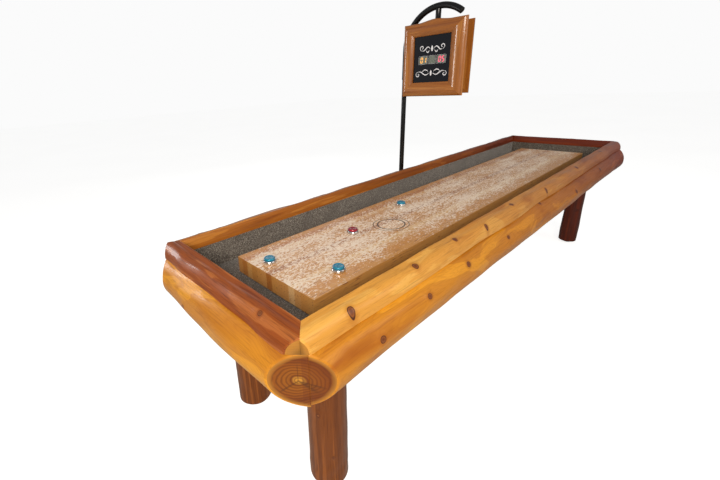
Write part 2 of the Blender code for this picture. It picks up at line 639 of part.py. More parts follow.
def make_arm():
    """The hooked pipe: a sleeve that turns on the post, an arc, and a stub and flange for the scoreboard."""
    end = SLEEVE + ARC_RADIUS * ARC_SWEEP
    runs = [SLEEVE + ARC_RADIUS * ARC_SWEEP * i / ARC_STEPS for i in range(ARC_STEPS + 1)]
    shape = bmesh.new()
    add_pipe(shape, [(ARM, 0)] + [(ARM, run) for run in runs])
    to_object("hook_arm", shape, "black_steel", parent=arm_axis, round_piece=True)

    weld = welds.setdefault("hook_arm", bmesh.new())
    stub_top = ARC_Z + ARC_RISE - (ARM + ARM_BORE) / 2 + STUB / 2
    depth, width, thick = FLANGE
    flange_low = CASE_TOP + FIT
    low = (-depth / 2, STUB_OUT - width / 2, flange_low)
    # turned by half a facet, so that no edge of the stub meets an edge of the pipe head on
    middle = Matrix.Translation((0, STUB_OUT, 0)) @ Matrix.Rotation(math.pi / ROUND_SIDES, 4, "Z")
    add_prism(weld, STUB, flange_low + thick / 2, stub_top, ROUND_SIDES, middle)
    flange = welds.setdefault("hook_arm.flange", bmesh.new())
    add_box(flange, low, (depth / 2, STUB_OUT + width / 2, flange_low + thick))
    boss = facing((0, 0, LOCK_Z), (1, 0, 0))
    boss_weld = welds.setdefault("hook_arm.boss", bmesh.new())
    add_prism(boss_weld, 0.008, (ARM + SLEEVE_BORE) / 2 - 0.003, ARM + 0.006, 6, boss)

    shoulder = POST_TOP + FIT - SLEEVE_Z
    bore = cutter_of("hook_arm")
    stations = [(SLEEVE_BORE, -0.01), (SLEEVE_BORE, shoulder), (ARM_BORE, shoulder + FIT)]
    add_pipe(bore, stations + [(ARM_BORE, run) for run in runs] + [(ARM_BORE, end + 0.01)])
    screw_bore = cutter_of("hook_arm.screws")
    add_prism(screw_bore, clear(LOCK_SCREW, gap=2 * FIT), POST, ARM + 0.02, 6, boss)

    screw = bmesh.new()
    head = ARM + 0.006 + FIT
    profile = [(0, POST + 2 * FIT), (LOCK_SCREW, POST + 2 * FIT), (LOCK_SCREW, head), (0.0065, head)]
    profile += [(0.0065, head + 0.006), (0, head + 0.006)]
    add_turned(screw, profile, 6, facing((0, 0, 0), (1, 0, 0)))
    to_object("arm_lock_screw", screw, "zinc_steel", parent=arm_axis, location=(0, 0, LOCK_Z))

    plug = bmesh.new()
    stem = ARM_BORE - PLUG_EASE
    profile = [(0, -PLUG_STEM), (stem - PLUG_EASE, -PLUG_STEM), (stem, FIT), (ARM, FIT)]
    profile += [(ARM * 0.9, 0.003), (0, 0.004)]
    add_turned(plug, profile, ROUND_SIDES, arm_frame(end))
    to_object("arm_end_plug", plug, "black_rubber", parent=arm_axis, round_piece=True)

    for side, side_name in ((-1, "right"), (1, "left")):
        bolt = bmesh.new()
        place = Matrix.Translation((0, STUB_OUT + side * HANGER_SPACING / 2, 0))
        head = flange_low + thick + FIT
        nut = CASE_TOP - CASE_BOARD - FIT
        profile = [(0, nut - 0.007), (HANGER_BOLT, nut - 0.007), (HANGER_BOLT, nut - 0.005)]
        profile += [(0.0055, nut - 0.005), (0.0055, nut), (HANGER_BOLT, nut), (HANGER_BOLT, head)]
        profile += [(0.0055, head), (0.0055, head + 0.004), (0, head + 0.004)]
        add_turned(bolt, profile, 6, place)
        to_object(f"hanger_bolt_{side_name}", bolt, "zinc_steel", parent=arm_axis)
        for name in ("hook_arm.screws", "scoreboard_case"):
            add_prism(cutter_of(name), clear(HANGER_BOLT), nut - 0.003, head + 0.002, 6, place)


# ---- Scoreboard ----
def make_case():
    """A shallow box of four joined boards, open front and back, that the two frames close."""
    shape = bmesh.new()
    half_depth = CASE_DEPTH / 2
    outer = (half_depth, CASE_HALF_WIDTH, CASE_HALF_HEIGHT)
    inner = (half_depth + 0.01, CASE_HALF_WIDTH - CASE_BOARD, CASE_HALF_HEIGHT - CASE_BOARD)
    middle = Vector((0, PANEL_OUT, PANEL_Z))
    add_box(shape, middle - Vector(outer), middle + Vector(outer))
    add_box(cutter_of("scoreboard_case.hollow"), middle - Vector(inner), middle + Vector(inner))
    to_object("scoreboard_case", shape, "case_board", parent=arm_axis)


def make_score_frame(name, front):
    """Four rounded rails, mitred and glued; front is -1 for the side towards the near end, else 1."""
    trim = REAR_TRIM if front == 1 else 0
    bottom = PANEL_Z - OPENING_HEIGHT / 2 - FRAME_BOTTOM + trim
    top = PANEL_Z + OPENING_HEIGHT / 2 + FRAME_TOP - trim
    outer = [
        (-SCORE_OUT - SCORE_WIDTH / 2, bottom),
        (-SCORE_OUT + SCORE_WIDTH / 2, bottom),
        (-SCORE_OUT + SCORE_WIDTH / 2, top),
        (-SCORE_OUT - SCORE_WIDTH / 2, top),
    ]
    inner = [
        (PANEL_OUT - OPENING_WIDTH / 2, PANEL_Z - OPENING_HEIGHT / 2),
        (PANEL_OUT + OPENING_WIDTH / 2, PANEL_Z - OPENING_HEIGHT / 2),
        (PANEL_OUT + OPENING_WIDTH / 2, PANEL_Z + OPENING_HEIGHT / 2),
        (PANEL_OUT - OPENING_WIDTH / 2, PANEL_Z + OPENING_HEIGHT / 2),
    ]
    # (share of the way from outer to inner edge, depth off the case), a rounded moulding
    profile = [(0, 0), (0, FRAME_EDGE), (0.14, 0.021), (0.34, FRAME_DEPTH), (0.60, 0.0265)]
    profile += [(0.84, 0.019), (1, FRAME_EDGE), (1, 0)]
    base = CASE_DEPTH / 2 + FIT
    shape = bmesh.new()
    stations = []
    for i in range(4):
        j = (i + 1) % 4
        stations.append((outer[i], inner[i], 0))
        if i == 2:
            for share, bump in TOP_BUMP:
                points = [Vector(side[i]).lerp(Vector(side[j]), share) for side in (outer, inner)]
                stations.append((*points, bump))
    rings = []
    for out_corner, in_corner, bump in stations:
        out_point, in_point = Vector((0, *out_corner)), Vector((0, *in_corner))
        ring = [out_point.lerp(in_point, share) + Vector((0, 0, bump * (1 - share))) for share, _ in profile]
        rings.append([p + Vector((front * (base + depth), 0, 0)) for p, (_, depth) in zip(ring, profile)])
    add_loft(shape, rings, closed=True)
    to_object(name, shape, "frame_pine", parent=arm_axis, round_piece=True)


def make_panel(name, front):
    """A thin dark panel let into the case behind a frame, with three windows."""
    face = CASE_DEPTH / 2
    width = CASE_HALF_WIDTH - CASE_BOARD - 2 * FIT
    height = CASE_HALF_HEIGHT - CASE_BOARD - 2 * FIT
    shape = bmesh.new()
    low = (front * (face - PANEL), PANEL_OUT - width, PANEL_Z - height)
    add_between(shape, low, (front * face, PANEL_OUT + width, PANEL_Z + height))
    to_object(name, shape, "panel_navy", parent=arm_axis)

    displays = bmesh.new()
    board_depth, board_width, board_height = DISPLAY_BOARD
    board_face = FIT + board_depth
    board_low = (front * FIT, PANEL_OUT - board_width / 2, PANEL_Z + WINDOW_RISE - board_height / 2)
    board_high = (front * board_face, PANEL_OUT + board_width / 2, PANEL_Z + WINDOW_RISE + board_height / 2)
    add_between(displays, board_low, board_high)
    displays_name = name.replace("panel", "displays")
    weld = welds.setdefault(displays_name, bmesh.new())
    for centre, window in WINDOWS:
        middle = Vector((0, PANEL_OUT - front * centre, PANEL_Z + WINDOW_RISE))
        half = Vector((face + 0.01, window / 2, WINDOW_HEIGHT / 2))
        add_box(cutter_of(name), middle - half, middle + half)
        half = Vector((0, window / 2 + DISPLAY_LAP, WINDOW_HEIGHT / 2 + DISPLAY_LAP))
        near = Vector((front * (face - PANEL - FIT), 0, 0))
        far = Vector((front * (FIT + board_depth / 2), 0, 0))
        add_between(weld, middle - half + near, middle + half + far)
    to_object(displays_name, displays, "display_plastic", parent=arm_axis)


arm_axis.location = (POST_X, POST_Y, 0)
make_socket()
make_strap()
make_post()
make_arm()
make_case()
make_score_frame("front_frame", -1)
make_score_frame("rear_frame", 1)
make_panel("front_panel", -1)
make_panel("rear_panel", 1)


# ---- Weld, then drill, the pieces that asked for it ----
def add_booleans(shapes, operation):
    """A name may carry a suffix after a dot, so that one piece can have several cutters in turn."""
    for name, shape in shapes.items():
        target = bpy.data.objects[name.split(".")[0]]
        on_arm = target.parent == arm_axis
        cutter = to_object(f"{name}_{operation.lower()}", shape, parent=arm_axis if on_arm else table)
        modifier = target.modifiers.new(operation.title(), "BOOLEAN")
        modifier.operation = operation
        modifier.solver = "EXACT"
        modifier.object = cutter


add_booleans(welds, "UNION")
add_booleans(drills, "DIFFERENCE")

# ---- Put the origin under the middle of the whole object ----
bpy.context.view_layer.update()
graph = bpy.context.evaluated_depsgraph_get()
corners = []
for piece in bpy.context.scene.objects:
    if piece.type == "MESH" and not piece.hide_render:
        evaluated = piece.evaluated_get(graph)
        corners += [evaluated.matrix_world @ Vector(corner) for corner in evaluated.bound_box]
for axis in range(2):
    values = [corner[axis] for corner in corners]
    table.location[axis] = -(min(values) + max(values)) / 2
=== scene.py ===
"""The finished look of a rustic table shuffleboard: peeled and varnished pine logs, a laminated maple
lane in carpeted gutters, four pucks and a two-sided scoreboard on a hooked pipe. Lengths are in metres."""

import math
from collections import namedtuple
from contextlib import contextmanager

import bmesh
import bpy
import numpy as np
from mathutils import Matrix, Vector


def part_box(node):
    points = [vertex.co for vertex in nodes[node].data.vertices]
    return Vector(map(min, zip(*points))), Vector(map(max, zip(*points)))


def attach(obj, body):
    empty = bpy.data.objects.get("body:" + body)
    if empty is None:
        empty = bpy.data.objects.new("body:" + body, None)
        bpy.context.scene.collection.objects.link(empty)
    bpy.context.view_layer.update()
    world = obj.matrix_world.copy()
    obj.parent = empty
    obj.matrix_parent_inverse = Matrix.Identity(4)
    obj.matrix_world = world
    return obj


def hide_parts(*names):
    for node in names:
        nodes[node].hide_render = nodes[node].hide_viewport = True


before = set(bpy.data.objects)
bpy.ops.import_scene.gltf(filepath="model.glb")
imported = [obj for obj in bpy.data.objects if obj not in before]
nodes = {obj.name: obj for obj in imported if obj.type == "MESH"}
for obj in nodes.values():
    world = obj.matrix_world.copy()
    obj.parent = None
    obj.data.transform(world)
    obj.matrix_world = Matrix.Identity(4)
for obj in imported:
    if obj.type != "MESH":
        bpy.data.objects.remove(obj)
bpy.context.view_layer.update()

TAU = 2 * math.pi


# ---- Places, all from the frame ----
def corners(node):
    return [np.array(corner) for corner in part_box(node)]


lane_low, lane_high = corners("playfield")
MIDDLE = (lane_low + lane_high) / 2
MIDDLE[2] = 0
PLAY_TOP = lane_high[2]
BOX_X, BOX_Y, _ = corners("side_board_left")[1] - MIDDLE
INNER_X = (corners("cap_rail_far")[0] - MIDDLE)[0]
INNER_Y = (corners("cap_rail_left")[0] - MIDDLE)[1]
CAP_BASE = corners("cap_rail_left")[0][2]
CAP_HEIGHT = corners("cap_rail_left")[1][2] - CAP_BASE
BOX_BOTTOM = corners("side_board_left")[0][2]
FLOOR_TOP = corners("gutter_floor")[1][2]
POST_X, POST_Y, _ = sum(corners("score_post")) / 2

LOG_Z = PLAY_TOP - 0.060  # heart of the logs
CORNER_RADIUS = 0.097
CORNER_BLEND = 0.34
LOG_SWELL = 0.014
SWELL_LENGTH = 1.7
CUT_NEAR = 0.0332  # box corner out to the sawn corner face
CUT_FAR = 0.012
MITRE_SHARE = 0.66
FIT = 0.0003
GRID = 0.0055  # spacing of the points on the wooden skins
SAME_POINT = 1e-6  # points closer than this are one point

Side = namedtuple("Side", "name turn long radius cap_width seed")
LEFT = Side("left", 0, True, 0.0870, 0.070, 0.0)
RIGHT = Side("right", math.pi, True, 0.0895, 0.070, 1.9)
NEAR = Side("near", math.pi / 2, False, 0.106, 0.080, 3.1)
FAR = Side("far", -math.pi / 2, False, 0.100, 0.080, 4.4)
SIDES = (LEFT, RIGHT, NEAR, FAR)


def reach(side):
    """Half the box's length along a side."""
    return BOX_X if side.long else BOX_Y


def base_out(side):
    """How far a side's box face lies from the middle."""
    return BOX_Y if side.long else BOX_X


def inner_out(side):
    return INNER_Y if side.long else INNER_X


def corner_cut(side, end):
    at_near_end = side.name == "near" or side.long and (end < 0) == (side.turn == 0)
    return CUT_NEAR if at_near_end else CUT_FAR


def to_world(side, along, out, height):
    """Points given along a side, outwards and up, as points in the frame."""
    cos, sin = math.cos(side.turn), math.sin(side.turn)
    x = along * cos - out * sin + MIDDLE[0]
    y = along * sin + out * cos + MIDDLE[1]
    return np.stack([x, y, height + 0 * x], axis=-1)


def to_side(side, points):
    """The other way round: (along, out, height) of points in the frame."""
    cos, sin = math.cos(side.turn), math.sin(side.turn)
    x, y = points[..., 0] - MIDDLE[0], points[..., 1] - MIDDLE[1]
    return x * cos + y * sin, y * cos - x * sin, points[..., 2]


# ---- Mesh helpers ----
def smoothstep(value):
    value = np.clip(value, 0, 1)
    return value * value * (3 - 2 * value)


def wander(where, seed, wavelength, count=6):
    """A smooth random curve of about unit height over places in metres."""
    random = np.random.default_rng(round(seed * 10))
    total = 0 * np.asarray(where, float)
    for _ in range(count):
        length = wavelength * random.uniform(0.45, 1.8)
        total = total + np.sin(TAU * where / length + random.uniform(0, TAU))
    return total / math.sqrt(count)


def ripple(along, around, seed, length, width, count=8):
    """A smooth random surface of about unit height; length and width are its hollows' sizes."""
    random = np.random.default_rng(round(seed * 10))
    total = 0 * along
    for _ in range(count):
        phase = random.uniform(0, TAU)
        turns = random.uniform(-1, 1) / width
        total = total + np.sin(TAU * (along * random.uniform(0.5,
                                                             1.5) / length + around * turns) + phase)
    return total / math.sqrt(count)


def link(name, mesh, smooth_angle=40):
    made = bpy.data.objects.new(name, mesh)
    bpy.context.scene.collection.objects.link(made)
    mesh.shade_smooth()
    mesh.set_sharp_from_angle(angle=math.radians(smooth_angle))
    return made


def linked(name, shape, smooth_angle=40):
    """A new piece from a bmesh, which is used up."""
    mesh = bpy.data.meshes.new(name)
    shape.to_mesh(mesh)
    shape.free()
    return link(name, mesh, smooth_angle)


def points_of(mesh):
    flat = np.empty(len(mesh.vertices) * 3)
    mesh.vertices.foreach_get("co", flat)
    return flat.reshape(-1, 3)


def skin(name, rings, closed=False, smooth_angle=40):
    """A closed skin through rings of points, with a flat face on each end."""
    count, spokes = rings.shape[:2]
    i, j = np.meshgrid(np.arange(count if closed else count - 1), np.arange(spokes), indexing="ij")
    after, beside = (i + 1) % count, (j + 1) % spokes
    quads = np.stack([i * spokes + j, i * spokes + beside, after * spokes + beside, after * spokes + j],
                     -1)
    faces = quads.reshape(-1, 4).tolist()
    if not closed:
        faces.append(list(range(spokes))[::-1])
        faces.append([(count - 1) * spokes + k for k in range(spokes)])
    mesh = bpy.data.meshes.new(name)
    mesh.from_pydata(rings.reshape(-1, 3).tolist(), [], faces)
    with reshaping(mesh) as shape:
        bmesh.ops.recalc_face_normals(shape, faces=shape.faces)
    return link(name, mesh, smooth_angle)


@contextmanager
def reshaping(mesh):
    """Work on a mesh as a bmesh and write it back."""
    shape = bmesh.new()
    shape.from_mesh(mesh)
    yield shape
    shape.to_mesh(mesh)
    shape.free()


def cut_off(piece, point, normal):
    """Cut away what lies beyond an upright plane and close the cut."""
    with reshaping(piece.data) as shape:
        parts = shape.verts[:] + shape.edges[:] + shape.faces[:]
        cut = bmesh.ops.bisect_plane(shape, geom=parts, plane_co=point, plane_no=normal,
                                     clear_outer=True)
        edges = [part for part in cut["geom_cut"] if isinstance(part, bmesh.types.BMEdge)]
        bmesh.ops.holes_fill(shape, edges=edges)
        bmesh.ops.dissolve_degenerate(shape, edges=shape.edges, dist=SAME_POINT)


def turned(name, profile, centre, sides=64, frame_matrix=None, smooth_angle=35):
    """A turned piece: (radius, height) points about Z that start and end on the axis or at a bore."""
    spokes = np.arange(sides) * TAU / sides
    rings = [[(r * math.cos(t), r * math.sin(t), z) for t in spokes] for r, z in profile]
    rings = np.array(rings)
    hollow = min(profile[0][0], profile[-1][0]) > 0
    if frame_matrix is None:
        rings = rings + np.array(centre)
    else:
        matrix = np.array(frame_matrix)
        rings = rings @ matrix[:3, :3].T + matrix[:3, 3]
    piece = skin(name, rings, closed=hollow, smooth_angle=smooth_angle)
    with reshaping(piece.data) as shape:
        bmesh.ops.remove_doubles(shape, verts=shape.verts, dist=SAME_POINT)
        bmesh.ops.dissolve_degenerate(shape, edges=shape.edges, dist=SAME_POINT / 10)
        bmesh.ops.recalc_face_normals(shape, faces=shape.faces)
    piece.data.shade_smooth()
    piece.data.set_sharp_from_angle(angle=math.radians(smooth_angle))
    return piece


def rounded(profile, radius, steps=4):
    """A (radius, height) profile with its inner corners rounded off."""
    points = [Vector(point) for point in profile]
    made = [points[0]]
    for before, corner, after in zip(points, points[1:], points[2:]):
        back, on = (before - corner), (after - corner)
        size = min(radius, back.length * 0.45, on.length * 0.45)
        start, end = corner + back.normalized() * size, corner + on.normalized() * size
        for step in range(steps + 1):
            share = step / steps
            made.append(start.lerp(corner, share).lerp(corner.lerp(end, share), share))
    made.append(points[-1])
    return [tuple(point) for point in made]


def store(piece, name, values):
    """Keep one vector or number for each face corner of a piece."""
    kind = "FLOAT_VECTOR" if values.ndim == 2 else "FLOAT"
    attribute = piece.data.attributes.new(name, kind, "CORNER")
    attribute.data.foreach_set("vector" if values.ndim == 2 else "value",
                               values.astype(np.float32).ravel())


def loops_of(piece):
    """Points, face normals and face numbers at each face corner."""
    mesh = piece.data
    vertex = np.empty(len(mesh.loops), np.int32)
    mesh.loops.foreach_get("vertex_index", vertex)
    total = np.empty(len(mesh.polygons), np.int32)
    mesh.polygons.foreach_get("loop_total", total)
    face = np.repeat(np.arange(len(mesh.polygons)), total)
    return points_of(mesh)[vertex], face_normals(piece)[face], face


def face_normals(piece):
    normal = np.empty(len(piece.data.polygons) * 3)
    piece.data.polygons.foreach_get("normal", normal)
    return normal.reshape(-1, 3)


def paint_faces(piece, chosen):
    """Give the second finish to the faces that are chosen."""
    index = np.zeros(len(piece.data.polygons), np.int32)
    index[chosen] = 1
    piece.data.polygons.foreach_set("material_index", index)


# ---- Knots, and the grain that runs round them ----
def knot_nearness(along, across, knots):
    """Distance to the nearest knot, in knot radii, and how far the grain is pushed aside there."""
    nearest = np.full(along.shape, 9.0)
    push = np.zeros(along.shape)
    for place, width, size in knots:
        away_along, away = (along - place) / (1.25 * size), (across - width) / size
        distance = np.sqrt(away_along**2 + away**2)
        nearest = np.minimum(nearest, distance)
        push += size * 0.9 * np.sign(away) * np.minimum(np.abs(away),
                                                        1) * np.exp(-((distance / 2.6) ** 2))
    return nearest, push


def knot_bump(nearest, height):
    """A healed knot stands proud of the log, dished in its middle."""
    return height * (np.exp(-((nearest / 2.4) ** 2)) - 0.55 * np.exp(-((nearest / 0.8) ** 2)))


def scattered_knots(seed, half_length, half_width, spacing, size=0.009):
    random = np.random.default_rng(round(seed * 10))
    made = []
    place = -half_length + random.uniform(0.1, spacing)
    while place < half_length:
        made.append((place, random.uniform(-half_width, half_width), size * random.uniform(0.6, 1.3)))
        place += spacing * random.uniform(0.6, 1.5)
    return made


# ---- Finishes ----
def linear(code, alpha=1.0):
    """An sRGB hex colour as the linear colour that a shader wants."""
    parts = [int(code[i:i + 2], 16) / 255 for i in (1, 3, 5)]
    parts = [p / 12.92 if p <= 0.04045 else ((p + 0.055) / 1.055) ** 2.4 for p in parts]
    return (*parts, alpha)


def add(tree, kind, inputs=None, stops=None, **settings):
    """Add a node with its settings, its values or links by socket, and a ramp's stops."""
    made = tree.nodes.new(kind)
    for name, value in settings.items():
        setattr(made, name, value)
    for socket, value in (inputs or {}).items():
        if isinstance(value, bpy.types.Node):
            value = value.outputs[0]
        if isinstance(value, bpy.types.NodeSocket):
            tree.links.new(value, made.inputs[socket])
        else:
            is_colour = isinstance(value, str) and value.startswith("#")
            made.inputs[socket].default_value = linear(value) if is_colour else value
    if stops:
        elements = made.color_ramp.elements
        while len(elements) < len(stops):
            elements.new(0.5)
        for element, (place, colour) in zip(elements, stops):
            element.position = place
            element.color = linear(colour) if isinstance(colour, str) else (colour, colour, colour, 1)
    return made


def finish(name, **shader_values):
    """A new material with its constant shader values; returns it with its tree and shader."""
    made = bpy.data.materials.new(name)
    made.use_nodes = True
    tree = made.node_tree
    shader = tree.nodes["Principled BSDF"]
    for socket, value in shader_values.items():
        socket = socket.replace("_", " ")
        shader.inputs[socket].default_value = linear(value) if isinstance(value, str) else value
    return made, tree, shader


def surface(tree, shader, colour, pattern=None, gloss=None, relief=None, strength=0.0, depth=0.0):
    """Link a finish's colour, let its pattern set the gloss, and give it a relief of a depth in metres."""
    tree.links.new(colour.outputs[0], shader.inputs["Base Color"])
    if gloss:
        rough = add(tree, "ShaderNodeMapRange",
                    {"Value": pattern, "To Min": gloss[0], "To Max": gloss[1]})
        tree.links.new(rough.outputs[0], shader.inputs["Roughness"])
    if strength:
        bump = add(tree, "ShaderNodeBump",
                   {"Height": relief or pattern, "Strength": strength, "Distance": depth})
        tree.links.new(bump.outputs[0], shader.inputs["Normal"])


def varnished_pine(name, light, mid, deep, streak, patch=0.45, across=0.10, streaks=0.35, rings=0.2,
                   coat=0.7):
    """Pine peeled with a drawknife and varnished: to the eye, honey sapwood in long lapping patches
    where the knife crossed the growth rings, with fine lines, dark knots and a wet gloss on top."""
    made, tree, shader = finish(name, Coat_Weight=coat, Coat_Roughness=0.12, IOR=1.5,
                                Specular_IOR_Level=0.28)
    grain = add(tree, "ShaderNodeAttribute", attribute_name="grain").outputs["Vector"]
    knot = add(tree, "ShaderNodeAttribute", attribute_name="knot").outputs["Fac"]
    # long patches, with the firm edge of a ring that was cut through
    wide = add(tree, "ShaderNodeMapping",
               {"Vector": grain, "Scale": (1 / patch, 1 / across, 1 / across)})
    patches = add(tree, "ShaderNodeTexNoise",
                  {"Vector": wide, "Scale": 1.0, "Detail": 3.0, "Roughness": 0.45,
                                               "Distortion": 0.5})
    tone = add(tree, "ShaderNodeValToRGB", {"Fac": patches},
               [(0.26, deep), (0.43, mid), (0.54, mid), (0.57, light), (0.68, light), (0.80, mid)])
    # growth rings 3.5 mm apart, seen as contour lines
    section = add(tree, "ShaderNodeVectorMath", {0: grain, 1: (0, 1, 1)}, operation="MULTIPLY")
    radius = add(tree, "ShaderNodeVectorMath", {0: section}, operation="LENGTH").outputs["Value"]
    drift = add(tree, "ShaderNodeMath", {0: patches, 1: 0.05, 2: radius}, operation="MULTIPLY_ADD")
    wave = add(tree, "ShaderNodeMath", {0: drift, 1: TAU / 0.0035}, operation="MULTIPLY")
    ring = add(tree, "ShaderNodeMath", {0: add(tree, "ShaderNodeMath", {0: wave}, operation="SINE")},
               operation="ABSOLUTE")
    ring_mask = add(tree, "ShaderNodeMapRange",
                    {"Value": ring, "From Min": 0.75, "From Max": 1.0, "To Max": rings})
    ringed = add(tree, "ShaderNodeMixRGB",
                 {"Fac": ring_mask.outputs[0], "Color1": tone, "Color2": deep})
    # fibre lines about 4 mm apart, drawn that coarse so that they show
    fine = add(tree, "ShaderNodeMapping", {"Vector": grain, "Scale": (7, 240, 240)})
    fibre = add(tree, "ShaderNodeTexNoise", {"Vector": fine, "Scale": 1.0, "Detail": 2.0})
    fibre_mask = add(tree, "ShaderNodeMapRange", {"Value": fibre, "From Min": 0.52, "From Max": 0.75,
                                                  "To Max": streaks})
    lined = add(tree, "ShaderNodeMixRGB",
                {"Fac": fibre_mask.outputs[0], "Color1": ringed, "Color2": streak})
    halo = add(tree, "ShaderNodeMapRange",
               {"Value": knot, "From Min": 0.8, "From Max": 2.6, "To Min": 0.75,
                                            "To Max": 0.0}, interpolation_type="SMOOTHSTEP")
    haloed = add(tree, "ShaderNodeMixRGB", {"Fac": halo.outputs[0], "Color1": lined, "Color2": deep})
    eye = add(tree, "ShaderNodeValToRGB", {"Fac": add(tree, "ShaderNodeMath", {0: knot, 1: 0.5},
                                                      operation="MULTIPLY")},
              [(0.0, "#5a2c12"), (0.28, "#7b421c"), (0.40, "#8f5226"), (0.50, "#3b1a0a"),
               (0.60, "#6b3416")])
    inside = add(tree, "ShaderNodeMath", {0: knot, 1: 1.15}, operation="LESS_THAN")
    final = add(tree, "ShaderNodeMixRGB", {"Fac": inside, "Color1": haloed, "Color2": eye})
    # painted shade: the wood is darker and redder towards the far end, standing in for the light that falls
    # off along the table
    place = add(tree, "ShaderNodeTexCoord").outputs["Object"]
    far = add(tree, "ShaderNodeMapRange",
              {"Value": add(tree, "ShaderNodeSeparateXYZ", {0: place}).outputs["X"],
                                           "From Min": -1.4, "From Max": 1.7, "To Max": 1.0})
    painted_falloff_shade = add(tree, "ShaderNodeMixRGB", {"Fac": far.outputs[0], "Color1": final, "Color2": "#a8683c"},
               blend_type="MULTIPLY")
    surface(tree, shader, painted_falloff_shade, fibre, (0.30, 0.52), None, 0.35, 0.0006)
    return made


def sawn_end_grain():
    """Sawn and varnished pine end grain: pale sapwood under the bark side, a brown heart, rings and a few
    drying cracks. The grain attribute holds the way out from the axis and the place on the section."""
    made, tree, shader = finish("sawn_pine_end_grain", Coat_Weight=0.15, Coat_Roughness=0.25, IOR=1.5,
                                Specular_IOR_Level=0.25)
    grain = add(tree, "ShaderNodeAttribute", attribute_name="grain").outputs["Vector"]
    axes = add(tree, "ShaderNodeSeparateXYZ", {0: grain})
    section = add(tree, "ShaderNodeVectorMath", {0: grain, 1: (0, 1, 1)}, operation="MULTIPLY")
    radius = add(tree, "ShaderNodeVectorMath", {0: section}, operation="LENGTH").outputs["Value"]
    wobble = add(tree, "ShaderNodeTexNoise", {"Vector": section, "Scale": 16.0, "Detail": 2.0})
    drift = add(tree, "ShaderNodeMath", {0: wobble, 1: 0.022, 2: radius}, operation="MULTIPLY_ADD")
    tone = add(tree, "ShaderNodeValToRGB", {"Fac": add(tree, "ShaderNodeMath", {0: drift, 1: 8.0},
                                                       operation="MULTIPLY")},
               [(0.17, "#c0852f"), (0.22, "#7c410d"), (0.30, "#945512"), (0.52, "#8a4a0e"),
                (0.66, "#733709"), (0.78, "#945614")])
    # growth rings, drawn 9 mm apart so that they show
    wave = add(tree, "ShaderNodeMath", {0: add(tree, "ShaderNodeMath", {0: drift, 1: TAU / 0.009},
                                                operation="MULTIPLY")}, operation="SINE")
    ring_mask = add(tree, "ShaderNodeMapRange",
                    {"Value": wave, "From Min": -0.2, "From Max": 1.0, "To Max": 0.6})
    ringed = add(tree, "ShaderNodeMixRGB",
                 {"Fac": ring_mask.outputs[0], "Color1": tone, "Color2": "#552808"})
    # the two logs of a corner differ a little
    other = add(tree, "ShaderNodeMath", {0: axes.outputs["Y"], 1: 0.008}, operation="GREATER_THAN")
    shade = add(tree, "ShaderNodeMath", {0: other, 1: 0.35}, operation="MULTIPLY")
    halves = add(tree, "ShaderNodeMixRGB", {"Fac": shade, "Color1": ringed, "Color2": "#682d0a"})
    # drying cracks that run out from the heart
    turn = add(tree, "ShaderNodeMath", {0: axes.outputs["Y"], 1: axes.outputs["Z"]},
               operation="ARCTAN2")
    spoke = add(tree, "ShaderNodeTexNoise", {"W": turn, "Scale": 0.42, "Detail": 0.0},
                noise_dimensions="1D")
    crack = add(tree, "ShaderNodeMath", {0: add(tree, "ShaderNodeMath", {0: spoke, 1: 0.5},
                                                 operation="SUBTRACT")}, operation="ABSOLUTE")
    thin = add(tree, "ShaderNodeMath", {0: crack, 1: radius}, operation="MULTIPLY")
    crack_mask = add(tree, "ShaderNodeMapRange", {"Value": thin, "From Min": 0.0, "From Max": 0.0004,
                                                  "To Min": 0.7, "To Max": 0.0})
    inner = add(tree, "ShaderNodeMapRange", {"Value": drift, "From Min": 0.055, "From Max": 0.075,
                                             "To Min": 1.0, "To Max": 0.0})
    cracked = add(tree, "ShaderNodeMath", {0: crack_mask.outputs[0], 1: inner.outputs[0]},
                  operation="MULTIPLY")
    heart = add(tree, "ShaderNodeMixRGB", {"Fac": cracked, "Color1": halves, "Color2": "#4d2a10"})
    # sapwood about 11 mm deep under the bark side
    round_axis = add(tree, "ShaderNodeVectorMath", {0: grain, 1: (1, 0, 1)}, operation="MULTIPLY")
    reach_out = add(tree, "ShaderNodeVectorMath", {0: round_axis}, operation="LENGTH").outputs["Value"]
    rim = add(tree, "ShaderNodeMath", {0: wobble, 1: -0.008, 2: reach_out}, operation="MULTIPLY_ADD")
    sap_mask = add(tree, "ShaderNodeMapRange", {"Value": rim, "From Min": CORNER_RADIUS - 0.020,
                                                "From Max": CORNER_RADIUS - 0.0080, "To Max": 0.75})
    final = add(tree, "ShaderNodeMixRGB",
                {"Fac": sap_mask.outputs[0], "Color1": heart, "Color2": "#be8434"})
    fibre = add(tree, "ShaderNodeTexNoise", {"Vector": section, "Scale": 500.0, "Detail": 2.0})
    height = add(tree, "ShaderNodeMath", {0: fibre, 1: cracked}, operation="SUBTRACT")
    surface(tree, shader, final, fibre, (0.35, 0.6), height, 0.3, 0.0005)
    return made


# the plain oval printed on the lane: its middle, half length and half width
OVAL_X, OVAL_Y = MIDDLE[0] - 0.90, MIDDLE[1] - 0.02
OVAL_LONG, OVAL_WIDE = 0.092, 0.080


